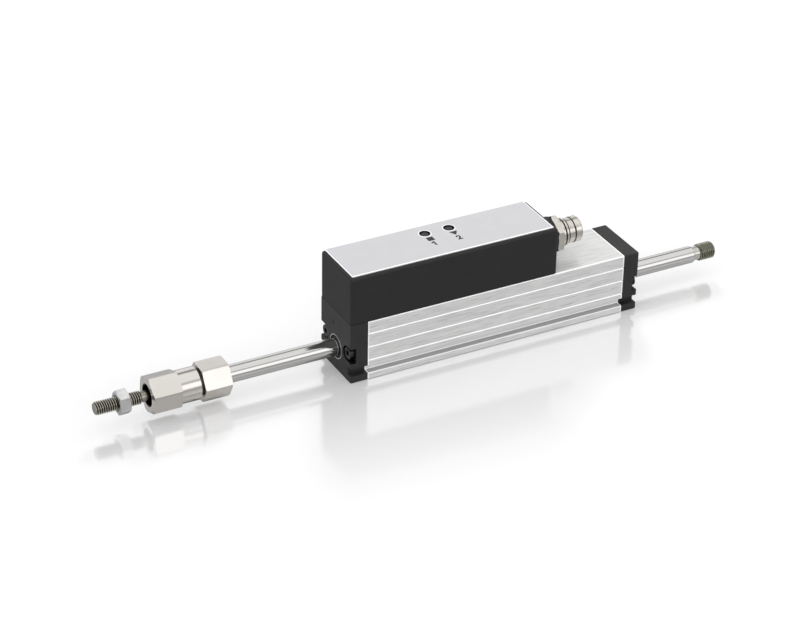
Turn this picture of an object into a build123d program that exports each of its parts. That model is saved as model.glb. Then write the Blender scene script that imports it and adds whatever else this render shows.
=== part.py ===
from build123d import *
import math
import os

# Rod-type position sensor in millimetres: X along the rod with the coupling towards -X,
# Y across, Z up. The origin is on the underside, in the middle of the body's length.

# Body
body_length = 146.5
front_cap_length = 8.4
rear_cap_length = 7.8
section_width = 29.0
section_height = 29.5
corner_radius = 0.5

# Extruded section
side_wall = 2.0
floor_wall = 2.0
top_wall = 2.5
groove_bottom = 3.5
groove_height = 3.8
groove_depth = 3.0
line_first = 9.9
line_pitch = 6.7
line_count = 3
line_width = 0.7
line_depth = 0.3
rod_below_top = 18.1
channel_above_rod = 2.25
channel_from_side = 3.8
channel_wall = 1.25
rib_reach = 1.5
rib_thickness = 1.1

# Screws of the caps and of the housing
cap_screw_radius = 1.5
cap_screw_depth = 14.0
screw_head_radius = 2.75
screw_socket_radius = 1.25
screw_socket_depth = 1.2
hole_clearance = 0.1
thread_clearance = 0.02
cut_margin = 1.0

# End caps
recess_radius = 3.65
recess_depth = 2.6
head_below_face = 0.4
cap_edge_radius = 0.4
gasket_thickness = 0.6
gasket_inset = 0.8
spigot_gap = 0.6
gate_mark_width = 0.5
gate_mark_height = 2.0
gate_mark_relief = 0.15
gate_mark_y = 2.4
gate_mark_above_rod = 10.1

# Rod, its bushes and wipers
rod_radius = 4.0
rod_front_reach = 64.55
rod_rear_reach = 50.3
rod_thread_length = 8.1
rod_relief_length = 3.15
rod_relief_radius = 3.25
rod_chamfer = 0.6
rod_tip_chamfer = 0.8
bush_clearance = 0.04
bush_wall = 1.2
bush_length = 12.0
wiper_length = 4.0
wiper_wall = 1.35
wiper_case_wall = 0.4
wiper_clearance = 0.03
wiper_lip_depth = 0.8
bore_clearance = 0.3

# Carriage and target
body_beyond_travel = 90.5
carriage_length = 38.0
carriage_clearance = 0.05
carriage_side_gap = 0.5
carriage_below_rod = 2.2
wing_gap = 0.8
guide_gap = 0.3
target_length = 28.0
target_thickness = 1.0
target_edge = 2.2
target_screw_inset = 3.0
target_screw_radius = 0.8
target_screw_head = 1.5
target_screw_head_height = 0.7
target_screw_depth = 1.6
washer_thickness = 0.5
washer_radius = 6.2
ring_thickness = 0.8
ring_radius = 5.6
ring_groove_depth = 0.35
ring_gap_width = 3.0
axial_play = 0.1
buffer_thickness = 2.0
buffer_radius = 7.0
buffer_gap = 0.3

# Coil board
board_thickness = 1.6
coil_board_headroom = 3.0
sensing_gap = 2.2
rib_clearance = 0.1
coil_board_side_gap = 0.2
coil_board_end_gap = 0.3
coil_chip_sizes = [(7.0, 7.0), (5.0, 4.0), (5.0, 4.0)]
coil_chip_places = [(26.0, -3.0), (42.0, 5.0), (52.0, -4.5)]
chip_thickness = 1.2

# Link between the coil board and the electronics board
link_from_front = 35.25
link_pin_count = 8
link_pitch = 2.54
link_pin_width = 0.64
link_block_height = 2.4
link_block_width = 2.5
link_opening_margin = 1.6
pin_stub = 0.8
pin_hole_clearance = 0.1

# Electronics housing
housing_length = 103.0
housing_height = 23.0
housing_wall = 2.0
housing_edge_radius = 1.1
housing_rim_groove_inset = 0.6
housing_rim_groove_width = 0.8
housing_rim_groove_depth = 0.6
housing_screw_front = 13.25
housing_screw_rear = 9.5
housing_screw_from_side = 4.3
housing_post_radius = 3.9
housing_post_floor = 6.0
housing_screw_head_height = 3.0
housing_screw_end = 0.8

# Label plate
label_thickness = 0.5
label_recess = 0.3
label_front_edge = 1.6
label_rear_edge = 1.5
label_side_edge = 1.75
label_clearance = 0.05

# Buttons and their switches
button_front = 47.45
button_pitch = 12.05
button_y = 7.6
button_well_radius = 2.45
button_radius = 1.55
button_clearance = 0.08
button_below_label = 0.3
button_flange_radius = 2.4
button_flange_thickness = 0.8
button_travel = 0.5
button_play = 0.05
switch_width = 6.0
switch_over_travel = 0.2
plunger_radius = 1.3
plunger_depth = 1.8

# Electronics board
board_post_length = 4.7
board_post_radius = 3.0
board_side_gap = 1.0
board_post_gap = 1.2
board_screw_inset = 6.0
board_screw_side = 3.5
board_screw_radius = 1.25
board_screw_head = 2.3
board_screw_head_height = 1.4
board_screw_depth = 3.4
processor_width = 9.0
processor_place = (52.5, 0.0)
inductor_width = 6.5
inductor_height = 3.2
inductor_place = (23.0, -5.0)
capacitor_radius = 1.6
capacitor_height = 3.0
capacitor_places = [(33.0, -7.0), (38.0, -7.0), (43.0, -7.0)]

# Connector on the housing's rear wall
connector_above_base = 11.5
boss_radius = 8.4
boss_length = 4.3
hex_flats = 16.0
hex_thickness = 3.1
connector_hex_turn = 30.0
collar_radius = 6.5
collar_length = 2.5
collar_groove_length = 0.8
collar_groove_radius = 5.8
lock_ring_length = 0.9
lock_ring_radius = 6.4
barrel_length = 3.5
barrel_radius = 5.75
barrel_groove_length = 0.5
barrel_groove_radius = 5.45
connector_thread_radius = 6.0
connector_thread_length = 3.5
connector_tip_chamfer = 0.6
connector_bore_radius = 4.25
insert_recess = 9.0
insert_clearance = 0.02
key_width = 1.2
key_height = 0.5
contact_radius = 0.5
contact_circle = 2.8
contact_count = 4
contact_recess = 1.6
locknut_flats = 14.0
locknut_thickness = 2.5
shell_inner_stub = 1.0
insert_inner_stub = 1.5
seal_inner_radius = 6.3
seal_outer_radius = 7.7
seal_thickness = 1.0

# Terminal board behind the connector
terminal_gap = 1.5
terminal_width = 11.6
terminal_below = 6.5
terminal_above = 2.4
bridge_pin_count = 4
bridge_pitch = 2.54
bridge_pin_width = 0.5
bridge_drop = 0.9
bridge_from_edge = 1.6

# Ball coupling on the rod's front end
coupling_flats = 15.5
coupling_hex_length = 13.3
coupling_hex_turn = 40.0
coupling_neck_radius = 7.7
coupling_neck_length = 9.7
coupling_gap = 0.65
plug_hex_length = 12.65
plug_hex_turn = 0.0
plug_thread_length = 3.15
plug_blind = 0.5
hex_chamfer = 0.7
mouth_radius = 4.8
mouth_chamfer = 0.5
ball_radius = 5.25
ball_behind_face = 9.5
ball_clearance = 0.05
liner_thickness = 0.65
liner_rim = 1.2
liner_clearance = 0.05
bore_step = 0.1
pressure_front = 3.4
pressure_length = 3.6
pressure_clearance = 0.05
spring_count = 4
spring_thickness = 0.4
spring_inner_radius = 3.2
spring_outer_radius = 5.6

# Ball stud and its nut
stud_neck_radius = 2.35
stud_neck_reach = 3.2
stud_thread_radius = 3.0
stud_engaged_radius = 2.7
stud_thread_length = 21.0
stud_tip_chamfer = 0.6
stud_tip_length = 1.0
nut_flats = 10.0
nut_thickness = 5.15
nut_turn = 52.0
nut_from_neck = 5.75
nut_chamfer = 0.5

# Places worked out from the sizes above
travel = body_length - body_beyond_travel
front_x = -body_length / 2
rear_x = body_length / 2
profile_front = front_x + front_cap_length
profile_rear = rear_x - rear_cap_length
half_width = section_width / 2
link_x = front_x + link_from_front
rod_z = section_height - rod_below_top
groove_top = groove_bottom + groove_height
cavity_top = section_height - top_wall
upper_half = half_width - side_wall
lower_half = half_width - groove_depth - side_wall
step_z = groove_top + side_wall
channel_y = half_width - channel_from_side
channel_z = rod_z + channel_above_rod
channel_outer = cap_screw_radius + channel_wall
channel_inner_limit = channel_y - channel_outer
spigot_radius = channel_inner_limit - spigot_gap

coil_board_top = cavity_top - coil_board_headroom
coil_board_bottom = coil_board_top - board_thickness
target_top = coil_board_bottom - sensing_gap
wing_top = target_top - target_thickness
wing_bottom = channel_z + channel_outer + wing_gap
carriage_half = carriage_length / 2
washer_start = carriage_half + axial_play
ring_start = washer_start + washer_thickness
ring_end = ring_start + ring_thickness
buffer_start = travel / 2 + ring_end + buffer_gap
spigot_end = buffer_start + buffer_thickness

bush_outer = rod_radius + bush_clearance + bush_wall
wiper_outer = rod_radius + wiper_clearance + wiper_wall
case_outer = wiper_outer + wiper_case_wall

housing_rear = front_x + housing_length
housing_top = section_height + housing_height - (label_thickness - label_recess)
housing_ceiling = housing_top - housing_wall
label_bottom = housing_top - label_recess
label_top = label_bottom + label_thickness
board_top = housing_ceiling - board_post_length
board_bottom = board_top - board_thickness
screw_post_y = half_width - housing_screw_from_side
screw_post_front = front_x + housing_screw_front
screw_post_rear = housing_rear - housing_screw_rear
board_front = screw_post_front + housing_post_radius + board_post_gap
board_rear = screw_post_rear - housing_post_radius - board_post_gap
board_half = half_width - housing_wall - board_side_gap
button_places = [front_x + button_front, front_x + button_front + button_pitch]

connector_z = section_height + connector_above_base
hex_start = housing_rear + boss_length
collar_start = hex_start + hex_thickness
groove_start = collar_start + collar_length
lock_ring_start = groove_start + collar_groove_length
barrel_start = lock_ring_start + lock_ring_length
thread_start = barrel_start + barrel_length
connector_end = thread_start + connector_thread_length
insert_face = connector_end - insert_recess
wall_inside = housing_rear - housing_wall
shell_inner_end = wall_inside - locknut_thickness - shell_inner_stub
insert_inner_end = shell_inner_end - insert_inner_stub
terminal_front = insert_inner_end - terminal_gap
terminal_back = terminal_front - board_thickness

rod_front = front_x - rod_front_reach
rod_rear = rear_x + rod_rear_reach
plug_rear = rod_front + rod_thread_length + rod_relief_length
plug_front = plug_rear - plug_hex_length
neck_rear = plug_front - coupling_gap
neck_front = neck_rear - coupling_neck_length
coupling_face = neck_front - coupling_hex_length
plug_thread_end = neck_rear - plug_thread_length
ball_x = coupling_face + ball_behind_face
seat_radius = ball_radius + ball_clearance
liner_outer = seat_radius + liner_thickness
chamber_radius = liner_outer + 2 * liner_clearance
pressure_end = ball_x + pressure_front + pressure_length
stud_thread_start = coupling_face - stud_neck_reach
stud_end = stud_thread_start - stud_thread_length
nut_rear = stud_thread_start - nut_from_neck
nut_front = nut_rear - nut_thickness
reach_limit = ball_x - stud_end + body_length


# Shared shapes
def block(x_pair, y_pair, z_pair):
    size = [pair[1] - pair[0] for pair in (x_pair, y_pair, z_pair)]
    middle = [(pair[0] + pair[1]) / 2 for pair in (x_pair, y_pair, z_pair)]
    return Pos(*middle) * Box(*size)


def bar_x(radius, x_pair, y, z):
    length = x_pair[1] - x_pair[0]
    return Pos((x_pair[0] + x_pair[1]) / 2, y, z) * Rot(0, 90, 0) * Cylinder(radius, length)


def bar_z(radius, z_pair, x, y):
    length = z_pair[1] - z_pair[0]
    return Pos(x, y, (z_pair[0] + z_pair[1]) / 2) * Cylinder(radius, length)


def turned(points, z):
    outline = make_face(Polyline(*points, close=True))
    return Pos(0, 0, z) * revolve(outline, Axis.X, 360)


def turned_sketch(outline, x, z):
    upper = Pos(0, reach_limit / 2) * Rectangle(2 * reach_limit, reach_limit)
    return Pos(x, 0, z) * revolve(outline & upper, Axis.X, 360)


def hex_bar(flats, x_pair, turn, z):
    corner = flats / math.sqrt(3)
    outline = Rot(0, 0, turn) * RegularPolygon(corner, 6)
    bar = extrude(Plane.YZ * outline, x_pair[1] - x_pair[0])
    return Pos(x_pair[0], 0, z) * bar


def hex_envelope(flats, x_pair, chamfers, z):
    corner = flats / math.sqrt(3)
    start, end = x_pair
    cut_start, cut_end = chamfers
    points = [
        (start, 0),
        (start, corner - cut_start),
        (start + cut_start / 2, corner),
        (end - cut_end / 2, corner),
        (end, corner - cut_end),
        (end, 0),
    ]
    return turned(points, z)


def section_rectangle(y_pair, z_pair):
    width = y_pair[1] - y_pair[0]
    height = z_pair[1] - z_pair[0]
    return Pos((y_pair[0] + y_pair[1]) / 2, (z_pair[0] + z_pair[1]) / 2) * Rectangle(width, height)


def push_along_x(outline, x_pair):
    return Pos(x_pair[0], 0, 0) * extrude(Plane.YZ * outline, x_pair[1] - x_pair[0])


# Outline of the body and of the caps, with a clamp groove in each side
def body_outline():
    outline = section_rectangle((-half_width, half_width), (0, section_height))
    outline = fillet(outline.vertices(), corner_radius)
    for side in (-1, 1):
        inner = side * (half_width - groove_depth)
        outer = side * (half_width + corner_radius)
        y_pair = (min(inner, outer), max(inner, outer))
        outline -= section_rectangle(y_pair, (groove_bottom, groove_top))
    return outline


def gasket_outline():
    inset = gasket_inset
    outline = section_rectangle(
        (inset - half_width, half_width - inset), (inset, section_height - inset)
    )
    for side in (-1, 1):
        inner = side * (half_width - groove_depth - inset)
        outer = side * (half_width + corner_radius)
        y_pair = (min(inner, outer), max(inner, outer))
        outline -= section_rectangle(y_pair, (groove_bottom - inset, groove_top + inset))
    return outline


# Extruded body
def cavity_outline():
    cavity = section_rectangle((-lower_half, lower_half), (floor_wall, cavity_top))
    cavity += section_rectangle((-upper_half, upper_half), (step_z, cavity_top))
    rib_inner = upper_half - rib_reach
    lower_rib = (coil_board_bottom - rib_clearance - rib_thickness, coil_board_bottom - rib_clearance)
    upper_rib = (coil_board_top + rib_clearance, coil_board_top + rib_clearance + rib_thickness)
    for side in (-1, 1):
        cavity -= Pos(side * channel_y, channel_z) * Circle(channel_outer)
        for rib in (lower_rib, upper_rib):
            y_pair = sorted((side * rib_inner, side * upper_half))
            cavity -= section_rectangle(y_pair, rib)
    return cavity


def make_profile():
    outline = body_outline()
    for side in (-1, 1):
        for number in range(line_count):
            z = line_first + number * line_pitch
            corner_points = [
                (side * half_width, z - line_width / 2),
                (side * half_width, z + line_width / 2),
                (side * (half_width - line_depth), z),
            ]
            outline -= make_face(Polyline(*corner_points, close=True))
    outline -= cavity_outline()
    for side in (-1, 1):
        outline -= Pos(side * channel_y, channel_z) * Circle(cap_screw_radius + thread_clearance)
    profile = push_along_x(outline, (profile_front, profile_rear))
    link_half = (link_pin_count - 1) * link_pitch / 2 + link_opening_margin
    link_side = link_block_width / 2 + link_opening_margin
    profile -= block(
        (link_x - link_half, link_x + link_half),
        (-link_side, link_side),
        (cavity_top - cut_margin, section_height + cut_margin),
    )
    for x, y in housing_screw_places():
        hole = (cavity_top - cut_margin, section_height + cut_margin)
        profile -= bar_z(cap_screw_radius + thread_clearance, hole, x, y)
    return profile


# End caps: outer plate, spigot with the bush seat, wiper seat and screw recesses
def make_cap(outer_x, plate_inner, end_x):
    direction = 1 if plate_inner > outer_x else -1
    plate = push_along_x(body_outline(), sorted((outer_x, plate_inner)))
    outer_face = plate.faces().sort_by(Axis.X)[0 if direction > 0 else -1]
    plate = fillet(outer_face.edges(), cap_edge_radius)
    cap = plate + bar_x(spigot_radius, sorted((plate_inner, end_x)), 0, rod_z)
    pocket = push_along_x(
        gasket_outline(), sorted((plate_inner, plate_inner - direction * gasket_thickness))
    )
    pocket -= bar_x(spigot_radius, sorted((outer_x, end_x)), 0, rod_z)
    cap -= pocket
    before = outer_x - direction * cut_margin
    beyond = end_x + direction * cut_margin
    cap -= bar_x(rod_radius + bore_clearance, sorted((before, beyond)), 0, rod_z)
    cap -= bar_x(case_outer, sorted((before, outer_x + direction * wiper_length)), 0, rod_z)
    cap -= bar_x(bush_outer, sorted((beyond, end_x - direction * bush_length)), 0, rod_z)
    floor_x = outer_x + direction * recess_depth
    for side in (-1, 1):
        y = side * channel_y
        cap -= bar_x(recess_radius, sorted((before, floor_x)), y, channel_z)
        cap -= block(
            sorted((before, floor_x)),
            sorted((y, side * (half_width + cut_margin))),
            (channel_z - recess_radius, channel_z + recess_radius),
        )
        hole = sorted((outer_x, plate_inner + direction * cut_margin))
        cap -= bar_x(cap_screw_radius + hole_clearance, hole, y, channel_z)
    return cap


def make_front_cap():
    cap = make_cap(front_x, profile_front, -spigot_end)
    mark_z = rod_z + gate_mark_above_rod
    cap += block(
        (front_x - gate_mark_relief, front_x + gate_mark_relief),
        (gate_mark_y - gate_mark_width / 2, gate_mark_y + gate_mark_width / 2),
        (mark_z, mark_z + gate_mark_height),
    )
    return cap


def make_rear_cap():
    return make_cap(rear_x, profile_rear, spigot_end)


def make_cap_gasket(plate_inner, direction):
    outline = gasket_outline()
    outline -= Pos(0, rod_z) * Circle(spigot_radius)
    for side in (-1, 1):
        outline -= Pos(side * channel_y, channel_z) * Circle(cap_screw_radius + hole_clearance)
    return push_along_x(outline, sorted((plate_inner, plate_inner - direction * gasket_thickness)))


def make_cap_screws(outer_x, plate_inner):
    direction = 1 if plate_inner > outer_x else -1
    head_top = outer_x + direction * head_below_face
    seat = outer_x + direction * recess_depth
    tip = plate_inner + direction * cap_screw_depth
    screws = []
    for side in (-1, 1):
        y = side * channel_y
        screw = bar_x(screw_head_radius, sorted((head_top, seat)), y, channel_z)
        screw += bar_x(cap_screw_radius, sorted((seat, tip)), y, channel_z)
        socket = Pos(head_top, y, channel_z) * extrude(
            Plane.YZ * RegularPolygon(screw_socket_radius, 6), direction * screw_socket_depth
        )
        screws.append(screw - socket)
    return Compound(children=screws)


# Wiper in a thin metal case, and the bush behind it
def make_wiper_case(outer_x, direction):
    start = outer_x
    end = outer_x + direction * wiper_length
    back = end - direction * wiper_case_wall
    points = [
        (start, wiper_outer),
        (start, case_outer),
        (end, case_outer),
        (end, rod_radius + bore_clearance),
        (back, rod_radius + bore_clearance),
        (back, wiper_outer),
    ]
    return turned(points, rod_z)


def make_wiper(outer_x, direction):
    inner = rod_radius + wiper_clearance
    lip = outer_x + direction * wiper_lip_depth
    end = outer_x + direction * (wiper_length - wiper_case_wall)
    points = [
        (outer_x + direction * wiper_lip_depth / 2, wiper_outer),
        (lip, (inner + wiper_outer) / 2),
        (outer_x, inner + wiper_clearance),
        (outer_x, inner),
        (end, inner),
        (end, wiper_outer),
    ]
    return turned(points, rod_z)


def ring_x(inner, outer, x_pair, z):
    start, end = x_pair
    return turned([(start, inner), (start, outer), (end, outer), (end, inner)], z)


def make_bush(direction):
    x_pair = sorted((direction * spigot_end, direction * (spigot_end + bush_length)))
    return ring_x(rod_radius + bush_clearance, bush_outer, x_pair, rod_z)


def make_end_buffers():
    inner = rod_radius + bore_clearance
    front = ring_x(inner, buffer_radius, (-spigot_end, -buffer_start), rod_z)
    rear = ring_x(inner, buffer_radius, (buffer_start, spigot_end), rod_z)
    return Compound(children=[front, rear])


# Rod with a thread and a relief at each end, and a groove for each retaining ring
def make_rod():
    bar_front = rod_front + rod_thread_length + rod_relief_length
    bar_rear = rod_rear - rod_thread_length - rod_relief_length
    groove_floor = rod_radius - ring_groove_depth
    points = [
        (rod_front, 0),
        (rod_front, rod_radius - rod_tip_chamfer),
        (rod_front + rod_tip_chamfer, rod_radius),
        (rod_front + rod_thread_length, rod_radius),
        (rod_front + rod_thread_length, rod_relief_radius),
        (bar_front, rod_relief_radius),
        (bar_front, rod_radius - rod_chamfer),
        (bar_front + rod_chamfer, rod_radius),
        (-ring_end, rod_radius),
        (-ring_end, groove_floor),
        (-ring_start, groove_floor),
        (-ring_start, rod_radius),
        (ring_start, rod_radius),
        (ring_start, groove_floor),
        (ring_end, groove_floor),
        (ring_end, rod_radius),
        (bar_rear - rod_chamfer, rod_radius),
        (bar_rear, rod_radius - rod_chamfer),
        (bar_rear, rod_relief_radius),
        (rod_rear - rod_thread_length, rod_relief_radius),
        (rod_rear - rod_thread_length, rod_radius),
        (rod_rear - rod_tip_chamfer, rod_radius),
        (rod_rear, rod_radius - rod_tip_chamfer),
        (rod_rear, 0),
    ]
    return turned(points, rod_z)


def make_retaining_rings():
    rings = []
    for side in (-1, 1):
        x_pair = sorted((side * ring_start, side * ring_end))
        ring = ring_x(rod_radius - ring_groove_depth, ring_radius, x_pair, rod_z)
        ring -= block(
            (x_pair[0] - cut_margin, x_pair[1] + cut_margin),
            (-ring_gap_width / 2, ring_gap_width / 2),
            (rod_z - ring_radius - cut_margin, rod_z),
        )
        rings.append(ring)
    return Compound(children=rings)


def make_thrust_washers():
    washers = []
    for side in (-1, 1):
        x_pair = sorted((side * washer_start, side * ring_start))
        washers.append(ring_x(rod_radius + thread_clearance, washer_radius, x_pair, rod_z))
    return Compound(children=washers)


# Carriage that the rod turns in, with wings that the side walls guide
def make_target_carriage():
    half = channel_inner_limit - carriage_side_gap
    wing_half = upper_half - guide_gap
    x_pair = (-carriage_half, carriage_half)
    bottom = rod_z - rod_radius - carriage_below_rod
    carriage = block(x_pair, (-half, half), (bottom, wing_bottom))
    carriage += block(x_pair, (-wing_half, wing_half), (wing_bottom, wing_top))
    carriage -= bar_x(rod_radius + carriage_clearance, (-carriage_length, carriage_length), 0, rod_z)
    for x, y in target_screw_places():
        depth = (wing_top - target_screw_depth, wing_top + cut_margin)
        carriage -= bar_z(target_screw_radius + thread_clearance, depth, x, y)
    return carriage


def target_screw_places():
    x = target_length / 2 - target_screw_inset
    y = upper_half - guide_gap - target_edge - target_screw_inset
    return [(side_x * x, side_y * y) for side_x in (-1, 1) for side_y in (-1, 1)]


def make_target_plate():
    half = upper_half - guide_gap - target_edge
    plate = block(
        (-target_length / 2, target_length / 2), (-half, half), (wing_top, target_top)
    )
    for x, y in target_screw_places():
        hole = (wing_top - cut_margin, target_top + cut_margin)
        plate -= bar_z(target_screw_radius + hole_clearance, hole, x, y)
    return plate


def make_target_screws():
    screws = []
    for x, y in target_screw_places():
        screw = bar_z(target_screw_radius, (wing_top - target_screw_depth, target_top), x, y)
        screw += bar_z(target_screw_head, (target_top, target_top + target_screw_head_height), x, y)
        screws.append(screw)
    return Compound(children=screws)


# Coil board in its guide ribs
def make_coil_board():
    half = upper_half - coil_board_side_gap
    board = block(
        (profile_front + coil_board_end_gap, profile_rear - coil_board_end_gap),
        (-half, half),
        (coil_board_bottom, coil_board_top),
    )
    hole = (coil_board_bottom - cut_margin, coil_board_top + cut_margin)
    return board - link_pin_bars(pin_hole_clearance, *hole)


def make_coil_board_chips():
    chips = []
    for place, size in zip(coil_chip_places, coil_chip_sizes):
        middle = Pos(link_x + place[0], place[1], coil_board_top + chip_thickness / 2)
        chip = middle * Box(*size, chip_thickness)
        chips.append(chip)
    return Compound(children=chips)


# Row of pins from the coil board up to the electronics board
def link_pin_bars(gap, bottom, top):
    half = link_pin_width / 2 + gap
    first = link_x - (link_pin_count - 1) * link_pitch / 2
    bars = []
    for number in range(link_pin_count):
        x = first + number * link_pitch
        bars.append(block((x - half, x + half), (-half, half), (bottom, top)))
    return bars


def make_link_pins():
    return Compound(children=link_pin_bars(0, coil_board_bottom - pin_stub, board_top + pin_stub))


def make_link_header():
    half = link_pin_count * link_pitch / 2
    header = block(
        (link_x - half, link_x + half),
        (-link_block_width / 2, link_block_width / 2),
        (coil_board_top, coil_board_top + link_block_height),
    )
    header_top = coil_board_top + link_block_height
    return header - link_pin_bars(0, coil_board_top - cut_margin, header_top + cut_margin)


# Electronics housing, open below, with screw posts, board posts and the connector boss
def housing_screw_places():
    ends = (screw_post_front, screw_post_rear)
    return [(x, side * screw_post_y) for x in ends for side in (-1, 1)]


def board_screw_places():
    ends = (board_front + board_screw_inset, board_rear - board_screw_inset)
    return [(x, side * (board_half - board_screw_side)) for x in ends for side in (-1, 1)]


def rim_ring(bottom, top):
    outer = housing_rim_groove_inset
    inner = outer + housing_rim_groove_width
    ring = block(
        (front_x + outer, housing_rear - outer), (outer - half_width, half_width - outer), (bottom, top)
    )
    ring -= block(
        (front_x + inner, housing_rear - inner),
        (inner - half_width, half_width - inner),
        (bottom - cut_margin, top + cut_margin),
    )
    return ring


def label_block(gap, bottom, top):
    return block(
        (front_x + label_front_edge - gap, housing_rear - label_rear_edge + gap),
        (label_side_edge - half_width - gap, half_width - label_side_edge + gap),
        (bottom, top),
    )


def make_electronics_housing():
    housing = block((front_x, housing_rear), (-half_width, half_width), (section_height, housing_top))
    upright = housing.edges().filter_by(Axis.Z)
    upper = housing.faces().sort_by(Axis.Z)[-1].edges()
    housing = fillet(upright + upper, housing_edge_radius)
    housing += bar_x(boss_radius, (wall_inside, hex_start), 0, connector_z)
    housing -= block(
        (front_x + housing_wall, wall_inside),
        (housing_wall - half_width, half_width - housing_wall),
        (section_height - cut_margin, housing_ceiling),
    )
    for x, y in housing_screw_places():
        housing += bar_z(housing_post_radius, (section_height, housing_ceiling), x, y)
    for x, y in board_screw_places():
        housing += bar_z(board_post_radius, (board_top, housing_ceiling), x, y)
    for x, y in housing_screw_places():
        floor_z = section_height + housing_post_floor
        counterbore = (floor_z, housing_top + cut_margin)
        hole = (section_height - cut_margin, floor_z + cut_margin)
        housing -= bar_z(screw_head_radius + hole_clearance, counterbore, x, y)
        housing -= bar_z(cap_screw_radius + hole_clearance, hole, x, y)
    for x, y in board_screw_places():
        hole = (board_top - cut_margin, board_top + board_screw_depth)
        housing -= bar_z(board_screw_radius + thread_clearance, hole, x, y)
    for x in button_places:
        hole = (housing_ceiling - cut_margin, housing_top + cut_margin)
        housing -= bar_z(button_radius + button_clearance, hole, x, button_y)
    housing -= label_block(label_clearance, label_bottom, housing_top + cut_margin)
    housing -= rim_ring(section_height - cut_margin, section_height + housing_rim_groove_depth)
    shell_hole = (shell_inner_end, hex_start + cut_margin)
    housing -= bar_x(connector_thread_radius + hole_clearance, shell_hole, 0, connector_z)
    seal_seat = (hex_start - seal_thickness, hex_start)
    housing -= ring_x(seal_inner_radius, seal_outer_radius, seal_seat, connector_z)
    return housing


def make_housing_gasket():
    return rim_ring(section_height, section_height + housing_rim_groove_depth)


def make_housing_screws():
    floor_z = section_height + housing_post_floor
    head_top = floor_z + housing_screw_head_height
    screws = []
    for x, y in housing_screw_places():
        screw = bar_z(screw_head_radius, (floor_z, head_top), x, y)
        screw += bar_z(cap_screw_radius, (cavity_top - housing_screw_end, floor_z), x, y)
        socket = Pos(x, y, head_top) * extrude(
            RegularPolygon(screw_socket_radius, 6), -screw_socket_depth
        )
        screws.append(screw - socket)
    return Compound(children=screws)


def make_label_plate():
    plate = label_block(0, label_bottom, label_top)
    for x in button_places:
        hole = (label_bottom - cut_margin, label_top + cut_margin)
        plate -= bar_z(button_well_radius, hole, x, button_y)
    return plate


# Electronics board and what is on it
def make_electronics_board():
    board = block((board_front, board_rear), (-board_half, board_half), (board_bottom, board_top))
    hole = (board_bottom - cut_margin, board_top + cut_margin)
    for x, y in board_screw_places():
        board -= bar_z(board_screw_radius + hole_clearance, hole, x, y)
    board -= link_pin_bars(pin_hole_clearance, *hole)
    board -= bridge_pin_feet(pin_hole_clearance, *hole)
    return board


def make_board_screws():
    screws = []
    for x, y in board_screw_places():
        tip = board_top + board_screw_depth - hole_clearance
        screw = bar_z(board_screw_radius, (board_bottom, tip), x, y)
        head = (board_bottom - board_screw_head_height, board_bottom)
        screws.append(screw + bar_z(board_screw_head, head, x, y))
    return Compound(children=screws)


def make_processor_chip():
    x, y = processor_place
    middle = board_top + chip_thickness / 2
    return Pos(board_front + x, y, middle) * Box(processor_width, processor_width, chip_thickness)


def make_power_inductor():
    x, y = inductor_place
    middle = board_top + inductor_height / 2
    return Pos(board_front + x, y, middle) * Box(inductor_width, inductor_width, inductor_height)


def make_board_capacitors():
    cans = []
    for x, y in capacitor_places:
        height = (board_top, board_top + capacitor_height)
        cans.append(bar_z(capacitor_radius, height, board_front + x, y))
    return Compound(children=cans)


# Push buttons, the switches under them and the switch plungers
flange_top = housing_ceiling - button_play
flange_bottom = flange_top - button_flange_thickness
switch_top = flange_bottom - button_travel - switch_over_travel


def make_button(x):
    button = bar_z(button_radius, (flange_bottom, label_top - button_below_label), x, button_y)
    return button + bar_z(button_flange_radius, (flange_bottom, flange_top), x, button_y)


def make_plunger(x):
    return bar_z(plunger_radius, (switch_top - plunger_depth, flange_bottom), x, button_y)


def make_switch_bodies():
    half = switch_width / 2
    hole_floor = switch_top - plunger_depth - button_travel - switch_over_travel
    switches = []
    for x in button_places:
        switch = block((x - half, x + half), (button_y - half, button_y + half), (board_top, switch_top))
        hole = (hole_floor, switch_top + cut_margin)
        switches.append(switch - bar_z(plunger_radius + button_clearance, hole, x, button_y))
    return Compound(children=switches)


# Connector: shell with hexagon and thread, insert with contacts, seal and locknut
def make_connector_shell():
    start = shell_inner_end
    thread = connector_thread_radius
    points = [
        (start, connector_bore_radius),
        (start, thread),
        (collar_start, thread),
        (collar_start, collar_radius),
        (groove_start, collar_radius),
        (groove_start, collar_groove_radius),
        (lock_ring_start, collar_groove_radius),
        (lock_ring_start, lock_ring_radius),
        (barrel_start, lock_ring_radius),
        (barrel_start, barrel_radius),
        (thread_start - barrel_groove_length, barrel_radius),
        (thread_start - barrel_groove_length, barrel_groove_radius),
        (thread_start, barrel_groove_radius),
        (thread_start, thread),
        (connector_end - connector_tip_chamfer, thread),
        (connector_end, thread - connector_tip_chamfer),
        (connector_end, connector_bore_radius),
    ]
    shell = turned(points, connector_z)
    hexagon = hex_bar(hex_flats, (hex_start, collar_start), connector_hex_turn, connector_z)
    hexagon &= hex_envelope(hex_flats, (hex_start, collar_start), (hex_chamfer, hex_chamfer), connector_z)
    hole = (hex_start - cut_margin, collar_start + cut_margin)
    hexagon -= bar_x(connector_bore_radius, hole, 0, connector_z)
    return shell + hexagon


def contact_places():
    places = []
    for number in range(contact_count):
        angle = math.radians((number + 0.5) * 360 / contact_count)
        y = contact_circle * math.sin(angle)
        places.append((y, connector_z + contact_circle * math.cos(angle)))
    return places


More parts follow.
